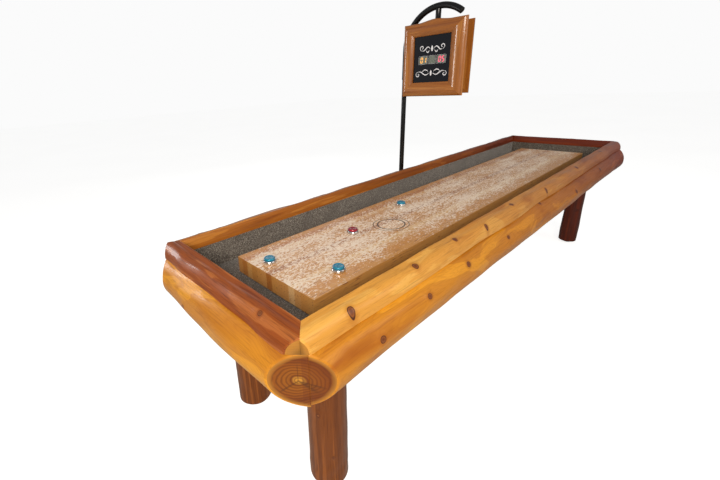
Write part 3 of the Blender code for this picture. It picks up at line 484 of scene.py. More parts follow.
def powdered_maple():
    """Rock maple strips under a clear poured finish, dusted with wax beads: a glossy tan board that
    shows only in bare patches, under a pale speckle that thins towards the edges."""
    made, tree, shader = finish("powdered_maple", Coat_Weight=0.35, Coat_Roughness=0.25, IOR=1.5)
    place = add(tree, "ShaderNodeTexCoord").outputs["Object"]
    strip = add(tree, "ShaderNodeAttribute", attribute_name="strip").outputs["Fac"]
    tone = add(tree, "ShaderNodeValToRGB", {"Fac": strip},
               [(0.0, "#94561f"), (0.25, "#c67f36"), (0.5, "#dca45c"), (0.75, "#cb8a40"),
                (1.0, "#edc48a")])
    shift = add(tree, "ShaderNodeCombineXYZ", {"X": add(tree, "ShaderNodeMath", {0: strip, 1: 37.0},
                                                        operation="MULTIPLY")})
    moved = add(tree, "ShaderNodeVectorMath", {0: place, 1: shift}, operation="ADD")
    # grain lines 3 to 4 mm apart
    along = add(tree, "ShaderNodeMapping", {"Vector": moved, "Scale": (5, 260, 260)})
    fibre = add(tree, "ShaderNodeTexNoise", {"Vector": along, "Scale": 1.0, "Detail": 3.0})
    fibre_mask = add(tree, "ShaderNodeMapRange", {"Value": fibre, "From Min": 0.45, "From Max": 0.75,
                                                  "To Max": 0.55})
    lined = add(tree, "ShaderNodeMixRGB",
                {"Fac": fibre_mask.outputs[0], "Color1": tone, "Color2": "#ad6a30"})
    # short reddish mineral streaks
    short = add(tree, "ShaderNodeMapping", {"Vector": moved, "Scale": (16, 150, 150)})
    mineral = add(tree, "ShaderNodeTexNoise", {"Vector": short, "Scale": 1.0, "Detail": 2.0})
    mineral_mask = add(tree, "ShaderNodeMapRange",
                       {"Value": mineral, "From Min": 0.61, "From Max": 0.70,
                                                    "To Max": 0.75})
    marked = add(tree, "ShaderNodeMixRGB", {"Fac": mineral_mask.outputs[0], "Color1": lined,
                                            "Color2": "#8c4f33"})
    # wax beads in clumps of about 5 mm, drawn that coarse so that they show, in drifts 0.2 m long
    drifts = add(tree, "ShaderNodeMapping", {"Vector": place, "Scale": (4.5, 11, 11)})
    drift = add(tree, "ShaderNodeTexNoise",
                {"Vector": drifts, "Scale": 1.0, "Detail": 3.0, "Distortion": 0.4})
    clumps = add(tree, "ShaderNodeMapping", {"Vector": place, "Scale": (75, 150, 150)})
    grit = add(tree, "ShaderNodeTexNoise",
               {"Vector": clumps, "Scale": 1.0, "Detail": 3.0, "Roughness": 0.75})
    edge = add(tree, "ShaderNodeVectorMath", {0: place, 1: (0, 1, 0)}, operation="MULTIPLY")
    away = add(tree, "ShaderNodeVectorMath", {0: edge, 1: (0, MIDDLE[1], 0)}, operation="DISTANCE")
    thin = add(tree, "ShaderNodeMapRange",
               {"Value": away.outputs["Value"], "From Min": 0.16, "From Max": 0.25,
                                            "To Min": 0.0, "To Max": 0.12})
    amount = add(tree, "ShaderNodeMath", {0: drift, 1: 0.30}, operation="MULTIPLY")
    level = add(tree, "ShaderNodeMath", {0: amount, 1: thin.outputs[0]}, operation="SUBTRACT")
    speck = add(tree, "ShaderNodeMath", {0: grit, 1: level}, operation="ADD")
    powder = add(tree, "ShaderNodeMapRange", {"Value": speck, "From Min": 0.628, "From Max": 0.652,
                                              "To Max": 0.9})
    normal = add(tree, "ShaderNodeNewGeometry").outputs["Normal"]
    up = add(tree, "ShaderNodeSeparateXYZ", {0: normal}).outputs["Z"]
    on_top = add(tree, "ShaderNodeMath", {0: up, 1: 0.9}, operation="GREATER_THAN")
    dust = add(tree, "ShaderNodeMath", {0: powder.outputs[0], 1: on_top}, operation="MULTIPLY")
    # a plain printed double oval under the finish
    oval = add(tree, "ShaderNodeMapping", {"Vector": place, "Scale": (1 / OVAL_LONG, 1 / OVAL_WIDE, 0),
                                           "Location": (-OVAL_X / OVAL_LONG, -OVAL_Y / OVAL_WIDE, 0)})
    reach_out = add(tree, "ShaderNodeVectorMath", {0: oval}, operation="LENGTH").outputs["Value"]
    fold = add(tree, "ShaderNodeMath", {0: reach_out, 1: 0.14}, operation="PINGPONG")
    line = add(tree, "ShaderNodeMath", {0: fold, 1: 0.045}, operation="LESS_THAN")
    beyond = add(tree, "ShaderNodeMath", {0: reach_out, 1: 0.92, 2: 0.20}, operation="COMPARE")
    drawn = add(tree, "ShaderNodeMath", {0: line, 1: beyond}, operation="MULTIPLY")
    printed = add(tree, "ShaderNodeMath", {0: drawn, 1: on_top}, operation="MULTIPLY")
    dusted = add(tree, "ShaderNodeMixRGB", {"Fac": dust, "Color1": marked, "Color2": "#fcead6"})
    ink = add(tree, "ShaderNodeMath", {0: printed, 1: 0.85}, operation="MULTIPLY")
    final = add(tree, "ShaderNodeMixRGB", {"Fac": ink, "Color1": dusted, "Color2": "#35221a"})
    surface(tree, shader, final, dust, (0.32, 0.8), None, 0.5, 0.0008)
    return made


BARE = ("#8a6238", "#b98a55", "#c79b66", "#9c6d3c")
STAINED = ("#6a3a16", "#9a5d28", "#a9692f", "#7c4519")


def sawn_pine(name, lengthwise, tones=BARE):
    """Planed pine boards, bare or stained: open grain lines and the odd resin streak, with little gloss."""
    made, tree, shader = finish(name, IOR=1.5)
    place = add(tree, "ShaderNodeTexCoord").outputs["Object"]
    stretch = (4, 90, 90) if lengthwise else (90, 4, 90)
    line = add(tree, "ShaderNodeMapping", {"Vector": place, "Scale": stretch})
    fibre = add(tree, "ShaderNodeTexNoise", {"Vector": line, "Scale": 1.0, "Detail": 4.0})
    tone = add(tree, "ShaderNodeValToRGB", {"Fac": fibre},
               list(zip((0.30, 0.45, 0.60, 0.80), tones)))
    surface(tree, shader, tone, fibre, (0.6, 0.85), None, 0.4, 0.0006)
    return made


def cut_pile_carpet():
    """Needle-punched nylon carpet: a dull grey-brown salt and pepper of tufts about 2.5 mm across."""
    made, tree, shader = finish("needle_punched_carpet", Roughness=0.95, Sheen_Weight=0.3,
                                Sheen_Roughness=0.6,
                                Specular_IOR_Level=0.15)
    place = add(tree, "ShaderNodeTexCoord").outputs["Object"]
    tuft = add(tree, "ShaderNodeTexVoronoi", {"Vector": place, "Scale": 330.0, "Randomness": 1.0})
    shade = add(tree, "ShaderNodeSeparateXYZ", {0: tuft.outputs["Color"]})
    tone = add(tree, "ShaderNodeValToRGB", {"Fac": shade},
               [(0.0, "#362f28"), (0.3, "#50483f"), (0.62, "#6b6257"), (0.85, "#877e73"),
                (1.0, "#a39b90")])
    blot = add(tree, "ShaderNodeTexNoise", {"Vector": place, "Scale": 9.0, "Detail": 2.0})
    blot_mask = add(tree, "ShaderNodeMapRange",
                    {"Value": blot, "From Min": 0.4, "From Max": 0.7, "To Max": 0.35})
    worn = add(tree, "ShaderNodeMixRGB", {"Fac": blot_mask.outputs[0], "Color1": tone,
                                          "Color2": "#4d443b"})
    tree.links.new(worn.outputs[0], shader.inputs["Base Color"])
    bump = add(tree, "ShaderNodeBump", {"Height": tuft.outputs["Distance"], "Strength": 0.6,
                                        "Distance": 0.002})
    tree.links.new(bump.outputs[0], shader.inputs["Normal"])
    return made


def coated_steel(name, colour, smooth, grit):
    """Powder-coated steel: a deep even colour with a soft gloss and a fine orange peel."""
    made, tree, shader = finish(name, Base_Color=colour, IOR=1.45, Coat_Weight=0.15, Coat_Roughness=0.1)
    place = add(tree, "ShaderNodeTexCoord").outputs["Object"]
    peel = add(tree, "ShaderNodeTexNoise", {"Vector": place, "Scale": 420.0, "Detail": 2.0})
    gloss = add(tree, "ShaderNodeMapRange", {"Value": peel, "To Min": smooth, "To Max": smooth + grit})
    tree.links.new(gloss.outputs[0], shader.inputs["Roughness"])
    bump = add(tree, "ShaderNodeBump", {"Height": peel, "Strength": 0.2, "Distance": 0.0003})
    tree.links.new(bump.outputs[0], shader.inputs["Normal"])
    return made


def zinc_plate():
    """Bright zinc on turned steel: a cool grey metal with a faint bluish and yellowish bloom."""
    made, tree, shader = finish("zinc_plated_steel", Metallic=1.0)
    place = add(tree, "ShaderNodeTexCoord").outputs["Object"]
    bloom = add(tree, "ShaderNodeTexNoise", {"Vector": place, "Scale": 60.0, "Detail": 3.0})
    tone = add(tree, "ShaderNodeValToRGB", {"Fac": bloom},
               [(0.3, "#a9adb2"), (0.55, "#c4c5c3"), (0.75, "#b9b096")])
    surface(tree, shader, tone, bloom, (0.22, 0.42))
    return made


def polished_chrome():
    """Chrome on a ground steel weight: a mirror with hairline rubbing marks round it."""
    made, tree, shader = finish("polished_chrome", Base_Color="#d9dadc", Metallic=1.0)
    place = add(tree, "ShaderNodeTexCoord").outputs["Object"]
    line = add(tree, "ShaderNodeMapping", {"Vector": place, "Scale": (60, 60, 2600)})
    rub = add(tree, "ShaderNodeTexNoise", {"Vector": line, "Scale": 1.0, "Detail": 2.0})
    gloss = add(tree, "ShaderNodeMapRange", {"Value": rub, "To Min": 0.05, "To Max": 0.22})
    tree.links.new(gloss.outputs[0], shader.inputs["Roughness"])
    return made


def metallic_plastic(name, colour, dark):
    """Polystyrene moulded with metal flake: a candy colour, deeper where it turns away, under a gloss."""
    made, tree, shader = finish(name, Metallic=0.2, Coat_Weight=0.6, Coat_Roughness=0.04, IOR=1.5)
    place = add(tree, "ShaderNodeTexCoord").outputs["Object"]
    # flakes of 0.6 mm
    flake = add(tree, "ShaderNodeTexVoronoi", {"Vector": place, "Scale": 1600.0})
    speck = add(tree, "ShaderNodeSeparateXYZ", {0: flake.outputs["Color"]})
    tone = add(tree, "ShaderNodeMixRGB", {"Fac": speck, "Color1": dark, "Color2": colour})
    facing = add(tree, "ShaderNodeLayerWeight", {"Blend": 0.35}).outputs["Facing"]
    final = add(tree, "ShaderNodeMixRGB", {"Fac": facing, "Color1": tone, "Color2": dark})
    surface(tree, shader, final, speck, (0.18, 0.34))
    return made


def moulded_plastic(name, colour, low, high, grain_size=0.0008, glow=0.0, glow_colour="#000000"):
    """Moulded ABS: one colour, with the faint texture of the mould in its gloss."""
    made, tree, shader = finish(name, IOR=1.53, Emission_Color=glow_colour, Emission_Strength=glow)
    place = add(tree, "ShaderNodeTexCoord").outputs["Object"]
    mould = add(tree, "ShaderNodeTexNoise", {"Vector": place, "Scale": 1 / grain_size, "Detail": 1.0})
    tone = add(tree, "ShaderNodeHueSaturation", {"Value": add(tree, "ShaderNodeMapRange", {
        "Value": mould, "To Min": 0.86, "To Max": 1.14}).outputs[0], "Color": colour})
    surface(tree, shader, tone, mould, (low, high), None, 0.15, 0.0002)
    return made


HONEY = varnished_pine("varnished_log_pine", "#e39c26", "#cd8620", "#a85e12", "#80400a", coat=0.2)
AMBER = varnished_pine("amber_cap_pine", "#e6ac50", "#dc9c40", "#bd7824", "#6c3208", patch=0.3,
                       across=0.06,
                       coat=0.35)
RUSSET = varnished_pine("russet_cap_pine", "#b0642a", "#964a14", "#75320a", "#4d1c05", patch=0.5,
                        across=0.03,
                        streaks=0.7, coat=0.25)
ORANGE = varnished_pine("orange_cap_pine", "#c27c2e", "#aa641e", "#8a4a14", "#62300a", patch=0.5,
                        across=0.05,
                        streaks=0.5, coat=0.3)
LEG_PINE = varnished_pine("varnished_leg_pine", "#8e4f1c", "#763e12", "#602f0b", "#441e06", patch=1.3,
                          across=0.022, streaks=0.65, rings=0.0, coat=0.2)
MOULDING = varnished_pine("varnished_frame_pine", "#cf9040", "#ba792e", "#9c5e1e", "#7a4312", patch=0.7,
                          across=0.03, streaks=0.5, rings=0.0, coat=1.0)
END_GRAIN = sawn_end_grain()
MAPLE = powdered_maple()
BOARDS_LONG = sawn_pine("sawn_pine_lengthwise", True)
BOARDS_ACROSS = sawn_pine("sawn_pine_crosswise", False)
CARPET = cut_pile_carpet()
BLACK = coated_steel("black_powder_coat", "#050506", 0.24, 0.10)
ZINC = zinc_plate()
CHROME = polished_chrome()
BLUE = metallic_plastic("blue_flake_plastic", "#14a8cc", "#045f80")
RED = metallic_plastic("crimson_flake_plastic", "#c61234", "#6c0019")
RUBBER = moulded_plastic("black_rubber_plug", "#0d0d0d", 0.45, 0.7)
NAVY = moulded_plastic("navy_gloss_panel", "#0b0d16", 0.08, 0.16)
FILTER = moulded_plastic("grey_display_filter", "#7c8478", 0.35, 0.5)
GLOW_ORANGE = moulded_plastic("lit_orange_segment", "#f0a63c", 0.3, 0.4, glow=0.9,
                              glow_colour="#ffb040")
GLOW_RED = moulded_plastic("lit_red_segment", "#e8456e", 0.3, 0.4, glow=0.9, glow_colour="#ff4a78")
WHITE_PRINT = moulded_plastic("white_screen_print", "#e9eaee", 0.35, 0.5)


def done(piece, body, slot, *replaced, finishes=()):
    """Give a finished piece its finishes and its body, and hide the nodes that it stands for; slot is not
    used.
    """
    for made in finishes:
        piece.data.materials.append(made)
    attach(piece, body)
    if replaced:
        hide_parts(*replaced)
    return piece


def refinish(node, made):
    """Give a CAD node that keeps its shape its real finish."""
    nodes[node].data.materials.clear()
    nodes[node].data.materials.append(made)


# ---- Logs ----
def log_radius(side, along):
    """A log's radius at a place along it: a slow natural swell that eases into the corners."""
    swell = side.radius * (1 + LOG_SWELL * np.sin(TAU * along / SWELL_LENGTH + side.seed))
    ease = smoothstep((np.abs(along) - reach(side) + CORNER_BLEND) / CORNER_BLEND)
    return swell + (CORNER_RADIUS - swell) * ease


def end_bases(side, start_out):
    """Where the two sawn corner faces meet the line at start_out, along the side."""
    extra = base_out(side) - start_out
    return [reach(side) + extra + corner_cut(side, end) * math.sqrt(2) for end in (-1, 1)]


ROUND_RINGS = 5
PITH = 0.008  # the heart of a sawn corner lies this far inside the end log's half


def ring_places(side, start_out, rounding):
    """For each ring: its base place, its shear towards the corner faces, and its inset by rounding."""
    low, high = end_bases(side, start_out)
    count = round((low + high) / GRID)
    body = np.linspace(-low + rounding * 1.02, high - rounding * 1.02, count)
    turns = np.linspace(0, math.pi / 2, ROUND_RINGS)
    rim = rounding * (1 - np.sin(turns))
    base = np.concatenate([-low + rim[::-1], body, high - rim])
    inset = rounding * (1 - np.cos(turns))
    insets = np.concatenate([inset[::-1], 0 * body, inset])
    shear = smoothstep((base - high + 0.34) / 0.30) - smoothstep((-base - low + 0.34) / 0.30)
    return base, shear, insets


def wood_marks(piece, side, pith_out, pith_height, knots, across_of, seed):
    """Store the grain and the knots on every face corner of a piece on one side of the table."""
    points, _, face = loops_of(piece)
    along, out, height = to_side(side, points)
    y, z = out - pith_out, height - pith_height
    nearest, push = knot_nearness(along, across_of(out, height), knots)
    radius = np.maximum(np.sqrt(y * y + z * z), 1e-4)
    grain = np.stack([along + 3.7 * seed, y - push * z / radius, z + push * y / radius], -1)
    # the sawn corner faces: rings round one heart that both neighbours share
    sawn = np.isin(face, np.flatnonzero(sawn_faces(piece, side)))
    beyond = (np.abs(along) - reach(side)) - (out - base_out(side))
    mirror = -1 if side.long else 1
    section = np.stack([out - base_out(side), mirror * beyond / 2 + PITH, height - LOG_Z], -1)
    store(piece, "grain", np.where(sawn[:, None], section, grain))
    store(piece, "knot", np.where(sawn, 9.0, nearest))


def sawn_faces(piece, side):
    """The faces of the sawn corners: they look out along the diagonal."""
    normal = face_normals(piece)
    centre = np.empty(len(piece.data.polygons) * 3)
    piece.data.polygons.foreach_get("center", centre)
    centre = centre.reshape(-1, 3)
    along, _, _ = to_side(side, centre)
    straight = np.abs(np.abs(normal[:, :2]) - math.sqrt(0.5)).sum(1)
    outward = (normal[:, :2] * centre[:, :2] > 0).all(1)
    return (straight < 0.01) & outward & (np.abs(along) > reach(side) - 0.12)


def cut_mitre(piece, side, reach_in, out_in, along_step, out_step):
    """Cut both ends back to upright planes through (reach_in, out_in), as the CAD pieces are cut."""
    for end in (-1, 1):
        point = to_side_vector(side, end * reach_in, out_in)
        normal = Vector((end * out_step, -along_step, 0)).normalized()
        turned_normal = Matrix.Rotation(side.turn, 3, "Z") @ normal
        cut_off(piece, point - turned_normal * FIT / 2, turned_normal)


def to_side_vector(side, along, out):
    return Vector(to_world(side, np.array(along), np.array(out), 0.0))


def half_log(side, knots):
    """A peeled log sawn in half, with its swelling, its knife facets, its healed knots and eased ends."""
    base, shear, inset = ring_places(side, base_out(side) + FIT, 0.0045)
    turns = np.linspace(-math.pi / 2, math.pi / 2, 46)
    base, turns = np.meshgrid(base, turns, indexing="ij")
    shear, inset = shear[:, None] + 0 * turns, inset[:, None] + 0 * turns
    radius = log_radius(side, base)
    along = base - shear * radius * np.cos(turns)
    radius = log_radius(side, along)
    nearest, _ = knot_nearness(along, turns * radius, knots)
    lumps = 0.0012 * ripple(along, turns * 0.1, side.seed * 10 + 1, 0.5, 0.06)
    facets = 0.0009 * np.sin(turns * 9 + 2.5 * wander(along, 7 + side.seed * 10, 0.9))
    bends = 0.0028 * wander(along, 3 + side.seed * 10, 0.8) * np.sin(turns + 0.6)
    calm = smoothstep((reach(side) - np.abs(along)) / 0.15)
    radius = radius + (lumps + facets + bends) * calm + knot_bump(nearest, 0.0032) * calm - inset
    along = base - shear * radius * np.cos(turns)
    flat = np.abs(np.cos(turns)) < 1e-6
    out = np.where(flat, 0, radius * np.cos(turns))
    height = np.minimum(LOG_Z + radius * np.sin(turns), CAP_BASE - FIT)
    piece = skin(f"peeled_{side.name}_log", to_world(side, along, base_out(side) + FIT + out, height))
    shift = MITRE_SHARE if side.long else -MITRE_SHARE
    cut_mitre(piece, side, reach(side), base_out(side), 1 - shift, 1 + shift)
    wood_marks(piece, side, base_out(side) - 0.01, LOG_Z, knots,
               lambda out, height: np.arctan2(height - LOG_Z, out - base_out(side)) * side.radius,
               side.seed)
    paint_faces(piece, sawn_faces(piece, side))
    node = f"side_log_{side.name}" if side.long else f"end_log_{side.name}"
    done(piece, "root", "log_pine", node, finishes=(HONEY, END_GRAIN))


def cap_rail(side, knots, wood):
    """A cap rail: half a slim log, planed flat along its inner edge, with a wavering knife-cut back."""
    start = inner_out(side) + FIT / 2
    base, shear, inset = ring_places(side, start, 0.004)
    share = np.concatenate([[0], np.linspace(0.01, 1, 26)])
    width = side.cap_width
    base, share = np.meshgrid(base, share, indexing="ij")
    shear, inset = shear[:, None] + 0 * share, inset[:, None] + 0 * share
    planed, fall = 0.024 / width, 0.007
    level = CAP_HEIGHT - fall * np.minimum(share / planed, 1)
    level = level - 0.005 * np.clip(1 - share / 0.07, 0, 1) ** 2
    over = np.clip((share - planed) / (1 - planed), 0, 1)
    waver = wander(base, 11 + side.seed * 10, 0.7)
    level = (CAP_HEIGHT - fall) * (1 - over**2.2) ** 0.55 * (share > planed) + level * (share <= planed)
    out = width * share * (1 + 0.045 * waver * share)
    top = level + 0.0022 * wander(base, 12 + side.seed * 10, 0.5) * np.minimum(share * 3,
                                                                               1) * (level > 0.004)
    top = top + 0.0012 * ripple(base, share * width, side.seed * 10 + 5, 0.35, 0.05) * (level > 0.004)
    nearest, _ = knot_nearness(base, share * width, knots)
    top = np.maximum(top + knot_bump(nearest, 0.0022) - inset * 0.7, 0)
    out = np.maximum(out - inset * share, 0)
    along = base - shear * out
    foot = to_world(side, along[:, :1], start + out[:, :1], CAP_BASE + 0 * out[:, :1])
    rings = to_world(side, along, start + out, CAP_BASE + np.minimum(top, CAP_HEIGHT))
    piece = skin(f"rounded_{side.name}_cap", np.concatenate([foot, rings], 1))
    cut_mitre(piece, side, reach(side) - base_out(side) + inner_out(side), inner_out(side), 1, 1)
    wood_marks(piece, side, inner_out(side) + 0.012, CAP_BASE - 0.03, knots,
               lambda out, height: out - start, side.seed + 0.37)
    paint_faces(piece, sawn_faces(piece, side))
    done(piece, "root", "cap_pine", f"cap_rail_{side.name}", finishes=(wood, END_GRAIN))


# ---- Gutters and boards ----
CARPET_THICK = 0.006
CARPET_TUCK = 0.009
TUFTS = 0.0042  # spacing of the points on the carpet


def gutter_carpet(side):
    """Carpet glued over the gutter floor and up its wall, with a soft fold between and a fuzzy top."""
    lip_out = (lane_high - MIDDLE)[1 if side.long else 0] - CARPET_TUCK
    lip_along = (lane_high - MIDDLE)[0 if side.long else 1] - CARPET_TUCK
    wall_out = inner_out(side) + CARPET_THICK
    wall_along = (INNER_X if side.long else INNER_Y) + CARPET_THICK
    low, top = FLOOR_TOP + FIT, CAP_BASE - FIT
    level, fold = low + CARPET_THICK, 0.009
    flat_end = inner_out(side) - fold
    floor_run = np.arange(lip_out, flat_end, TUFTS)
    bend = np.linspace(0, math.pi / 2, 5)
    wall_run = np.arange(level + fold + TUFTS, top, TUFTS)
    path = [(out, level, 0, 1) for out in floor_run]
    path += [(flat_end + fold * math.sin(t), level + fold * (1 - math.cos(t)), -math.sin(t),
              math.cos(t))
             for t in bend]
    path += [(inner_out(side), height, -1, 0) for height in wall_run]
    path += [(inner_out(side), top, 0, 0), (wall_out - FIT, top, 0, 0), (wall_out - FIT, low, 0, 0),
             (lip_out, low, 0, 0)]
    path = np.array(path)
    share = np.linspace(-1, 1, round(2 * wall_along / TUFTS))
    end = lip_along + (path[:, 0] - lip_out) * (wall_along - lip_along) / (wall_out - lip_out)
    end = end - FIT / math.sqrt(2)
    random = np.random.default_rng(40 + round(side.seed * 10))
    tuft = random.uniform(-0.0009, 0.0003, (len(share), len(path)))
    tuft[[0, -1]] = 0
    along = share[:, None] * end[None, :]
    out = path[None, :, 0] + tuft * path[None, :, 2]
    height = path[None, :, 1] + tuft * path[None, :, 3]
    piece = skin(f"carpet_{side.name}_gutter", to_world(side, along, out, height), smooth_angle=70)
    done(piece, "root", "gutter_carpet", f"gutter_carpet_{side.name}", finishes=(CARPET,))


def tree_of(name, sizes):
    """A Geometry Nodes tree with named number inputs; returns it with its input node and their sockets."""
    tree = bpy.data.node_groups.new(name, "GeometryNodeTree")
    tree.interface.new_socket("Geometry", in_out="INPUT", socket_type="NodeSocketGeometry")
    kinds = {int: "NodeSocketInt", float: "NodeSocketFloat"}
    sockets = {size: tree.interface.new_socket(size, in_out="INPUT",
                                               socket_type=kinds[type(value)]).identifier
               for size, value in sizes.items()}
    tree.interface.new_socket("Geometry", in_out="OUTPUT", socket_type="NodeSocketGeometry")
    return tree, tree.nodes.new("NodeGroupInput"), sockets


def grown(name, tree, sockets, sizes, start=None):
    """Run a tree on a new object and keep the result as a plain mesh."""
    holder = bpy.data.objects.new(f"{name}_holder", start or bpy.data.meshes.new(f"{name}_start"))
    bpy.context.scene.collection.objects.link(holder)
    modifier = holder.modifiers.new("Grow", "NODES")
    modifier.node_group = tree
    for size, value in sizes.items():
        modifier[sockets[size]] = value
    graph = bpy.context.evaluated_depsgraph_get()
    mesh = bpy.data.meshes.new_from_object(holder.evaluated_get(graph), depsgraph=graph)
    bpy.data.objects.remove(holder)
    mesh.name = name
    return link(name, mesh)


def maple_lane():
    """The lane: maple strips on edge, side by side, each with its own tone and with square edges."""
    sizes = {"Strips": 14, "Length": float(lane_high[0] - lane_low[0]),
             "Width": float(lane_high[1] - lane_low[1]),
             "Thickness": float(lane_high[2] - lane_low[2]), "Gap": 0.0002}
    tree, given, sockets = tree_of("laminated_strips", sizes)
    pitch = add(tree, "ShaderNodeMath", {0: given.outputs["Width"], 1: given.outputs["Strips"]},
                operation="DIVIDE")
    wide = add(tree, "ShaderNodeMath", {0: pitch, 1: given.outputs["Gap"]}, operation="SUBTRACT")
    strip_size = add(tree, "ShaderNodeCombineXYZ", {"X": given.outputs["Length"], "Y": wide,
                                                    "Z": given.outputs["Thickness"]})
    strip = add(tree, "GeometryNodeMeshCube", {"Size": strip_size, "Vertices X": 29, "Vertices Y": 2,
                                               "Vertices Z": 3})
    step = add(tree, "ShaderNodeCombineXYZ", {"Y": pitch})
    half = add(tree, "ShaderNodeMath", {0: given.outputs["Width"], 1: -0.5}, operation="MULTIPLY")
    first = add(tree, "ShaderNodeMath", {0: pitch, 1: 0.5, 2: half}, operation="MULTIPLY_ADD")
    start = add(tree, "ShaderNodeCombineXYZ", {"Y": first})
    line = add(tree, "GeometryNodeMeshLine", {"Count": given.outputs["Strips"], "Start Location": start,
                                              "Offset": step})
    placed = add(tree, "GeometryNodeInstanceOnPoints", {"Points": line, "Instance": strip})
    tone = add(tree, "FunctionNodeRandomValue", {2: 0.0, 3: 1.0, "Seed": 11}, data_type="FLOAT")
    marked = add(tree, "GeometryNodeStoreNamedAttribute", {"Geometry": placed, "Name": "strip",
                                                           "Value": tone.outputs[1]},
                 data_type="FLOAT", domain="INSTANCE")
    real = add(tree, "GeometryNodeRealizeInstances", {"Geometry": marked})
    finished = add(tree, "GeometryNodeSetMaterial", {"Geometry": real, "Material": MAPLE})
    add(tree, "NodeGroupOutput", {0: finished})
    piece = grown("laminated_lane", tree, sockets, sizes)
    piece.data.transform(Matrix.Translation((MIDDLE[0], MIDDLE[1], (lane_low[2] + lane_high[2]) / 2)))
    done(piece, "root", "lane_maple", "playfield")


for name in ("side_board_left", "side_board_right", "gutter_floor"):
    refinish(name, BOARDS_LONG)
for name in ("end_board_near", "end_board_far", *(f"cross_rail_{i}" for i in range(1, 6))):
    refinish(name, BOARDS_ACROSS)

# (place along the log, place round it from its outermost line, knot radius)
LOG_KNOTS = {
    "left": scattered_knots(60, reach(LEFT), 0.09, 0.5),
    "right": [(1.64, 0.022, 0.010), (1.36, 0.046, 0.009), (1.05, 0.056, 0.010), (0.65, 0.049, 0.008),
              (0.16, 0.100, 0.009), (-0.42, 0.030, 0.010), (-1.05, 0.060, 0.009),
              (-1.60, -0.020, 0.010)],
    "near": [(0.16, -0.010, 0.006), (-0.22, -0.095, 0.008)],
    "far": [(-0.18, 0.040, 0.008), (0.25, -0.030, 0.009)],
}
# (place along the cap, place across it from its inner edge, knot radius)
CAP_KNOTS = {
    "left": [(-1.66, 0.026, 0.007), (-1.78, 0.034, 0.006), (-0.95, 0.045, 0.007), (-0.20, 0.030, 0.006),
             (0.60, 0.048, 0.007), (1.35, 0.032, 0.006)],
    "right": [(1.72, 0.055, 0.010), (1.36, 0.042, 0.010), (1.06, 0.035, 0.009), (0.81, 0.054, 0.008),
              (0.47, 0.030, 0.009), (0.03, 0.055, 0.008), (-0.62, 0.040, 0.009), (-1.30, 0.030, 0.008)],
    "near": [(-0.285, 0.055, 0.006)],
    "far": [(0.10, 0.040, 0.007), (-0.27, 0.050, 0.006)],
}
CAP_WOODS = {"left": ORANGE, "right": AMBER, "near": RUSSET, "far": ORANGE}
for side in SIDES:
    half_log(side, LOG_KNOTS[side.name])
    gutter_carpet(side)
    cap_rail(side, CAP_KNOTS[side.name], CAP_WOODS[side.name])
maple_lane()


# ---- Legs ----
LEG_ROUNDING = 0.006
LEG_TAPER = 0.02
LEG_ALLOWANCE = 0.0022  # the CAD leg's radius less this leaves room for the lumps


def log_leg(name, knots):
    """A peeled log leg: not quite round, faintly fluted, with healed knots and rasped ends."""
    node = f"leg_{name}"
    low, high = corners(node)
    centre = (low + high) / 2
    foot_radius = (high[0] - low[0]) / 2
    bottom, top = low[2], high[2]
    seed = sum(ord(letter) for letter in name)
    turns = np.linspace(0, math.pi / 2, 4)
    body = np.linspace(bottom + LEG_ROUNDING + 0.003, top - LEG_ROUNDING - 0.003, 110)
    rim = LEG_ROUNDING * (1 - np.cos(turns))
    cut = LEG_ROUNDING * (1 - np.sin(turns))
    heights = np.concatenate([bottom + cut[::-1], body, top - cut])
    inset = np.concatenate([rim[::-1], 0 * body, rim])
    height, turn = np.meshgrid(heights, np.arange(64) * TAU / 64, indexing="ij")
    radius = foot_radius * (1 - LEG_TAPER * (height - bottom) / (top - bottom)) - LEG_ALLOWANCE
    radius = radius + 0.0016 * np.sin(2 * turn + seed) + 0.0012 * wander(height, seed + 1, 0.35)
    radius = radius + 0.0008 * np.sin(5 * turn + 3 * wander(height, seed, 0.5))
    nearest, _ = knot_nearness(height, (turn - math.pi) * foot_radius, knots)
    radius = radius + knot_bump(nearest, 0.0022) - inset[:, None]
    rings = np.stack([centre[0] + radius * np.cos(turn), centre[1] + radius * np.sin(turn), height], -1)
    piece = skin(f"peeled_{name}_leg", rings)
    points, normal, _ = loops_of(piece)
    x, y = points[:, 0] - centre[0], points[:, 1] - centre[1]
    around = (np.arctan2(y, x) % TAU - math.pi) * foot_radius
    nearest, push = knot_nearness(points[:, 2], around, knots)
    length = np.maximum(np.hypot(x, y), 1e-4)
    sawn = np.abs(normal[:, 2]) > 0.99
    grain = np.stack([points[:, 2] + seed * 1.3, x - push * y / length, y + push * x / length], -1)
    larger = CORNER_RADIUS / foot_radius
    section = np.stack([x, x - 0.01, y], -1) * larger
    store(piece, "grain", np.where(sawn[:, None], section, grain))
    store(piece, "knot", np.where(sawn, 9.0, nearest))
    paint_faces(piece, np.abs(face_normals(piece)[:, 2]) > 0.99)
    done(piece, "root", "log_pine", node, finishes=(LEG_PINE, END_GRAIN))


LEGS = ("near_left", "near_right", "far_left", "far_right")
# (height, place round the leg from the line that faces the near end, knot radius)
LEG_KNOTS = {
    "near_left": [(0.30, 0.050, 0.006), (0.55, -0.060, 0.007)],
    "near_right": [(0.39, 0.028, 0.006), (0.18, 0.085, 0.004), (0.52, -0.120, 0.007)],
    "far_left": [(0.24, 0.100, 0.006), (0.50, -0.030, 0.006)],
    "far_right": [(0.34, 0.050, 0.006), (0.16, -0.140, 0.006)],
}
for name in LEGS:
    log_leg(name, LEG_KNOTS[name])


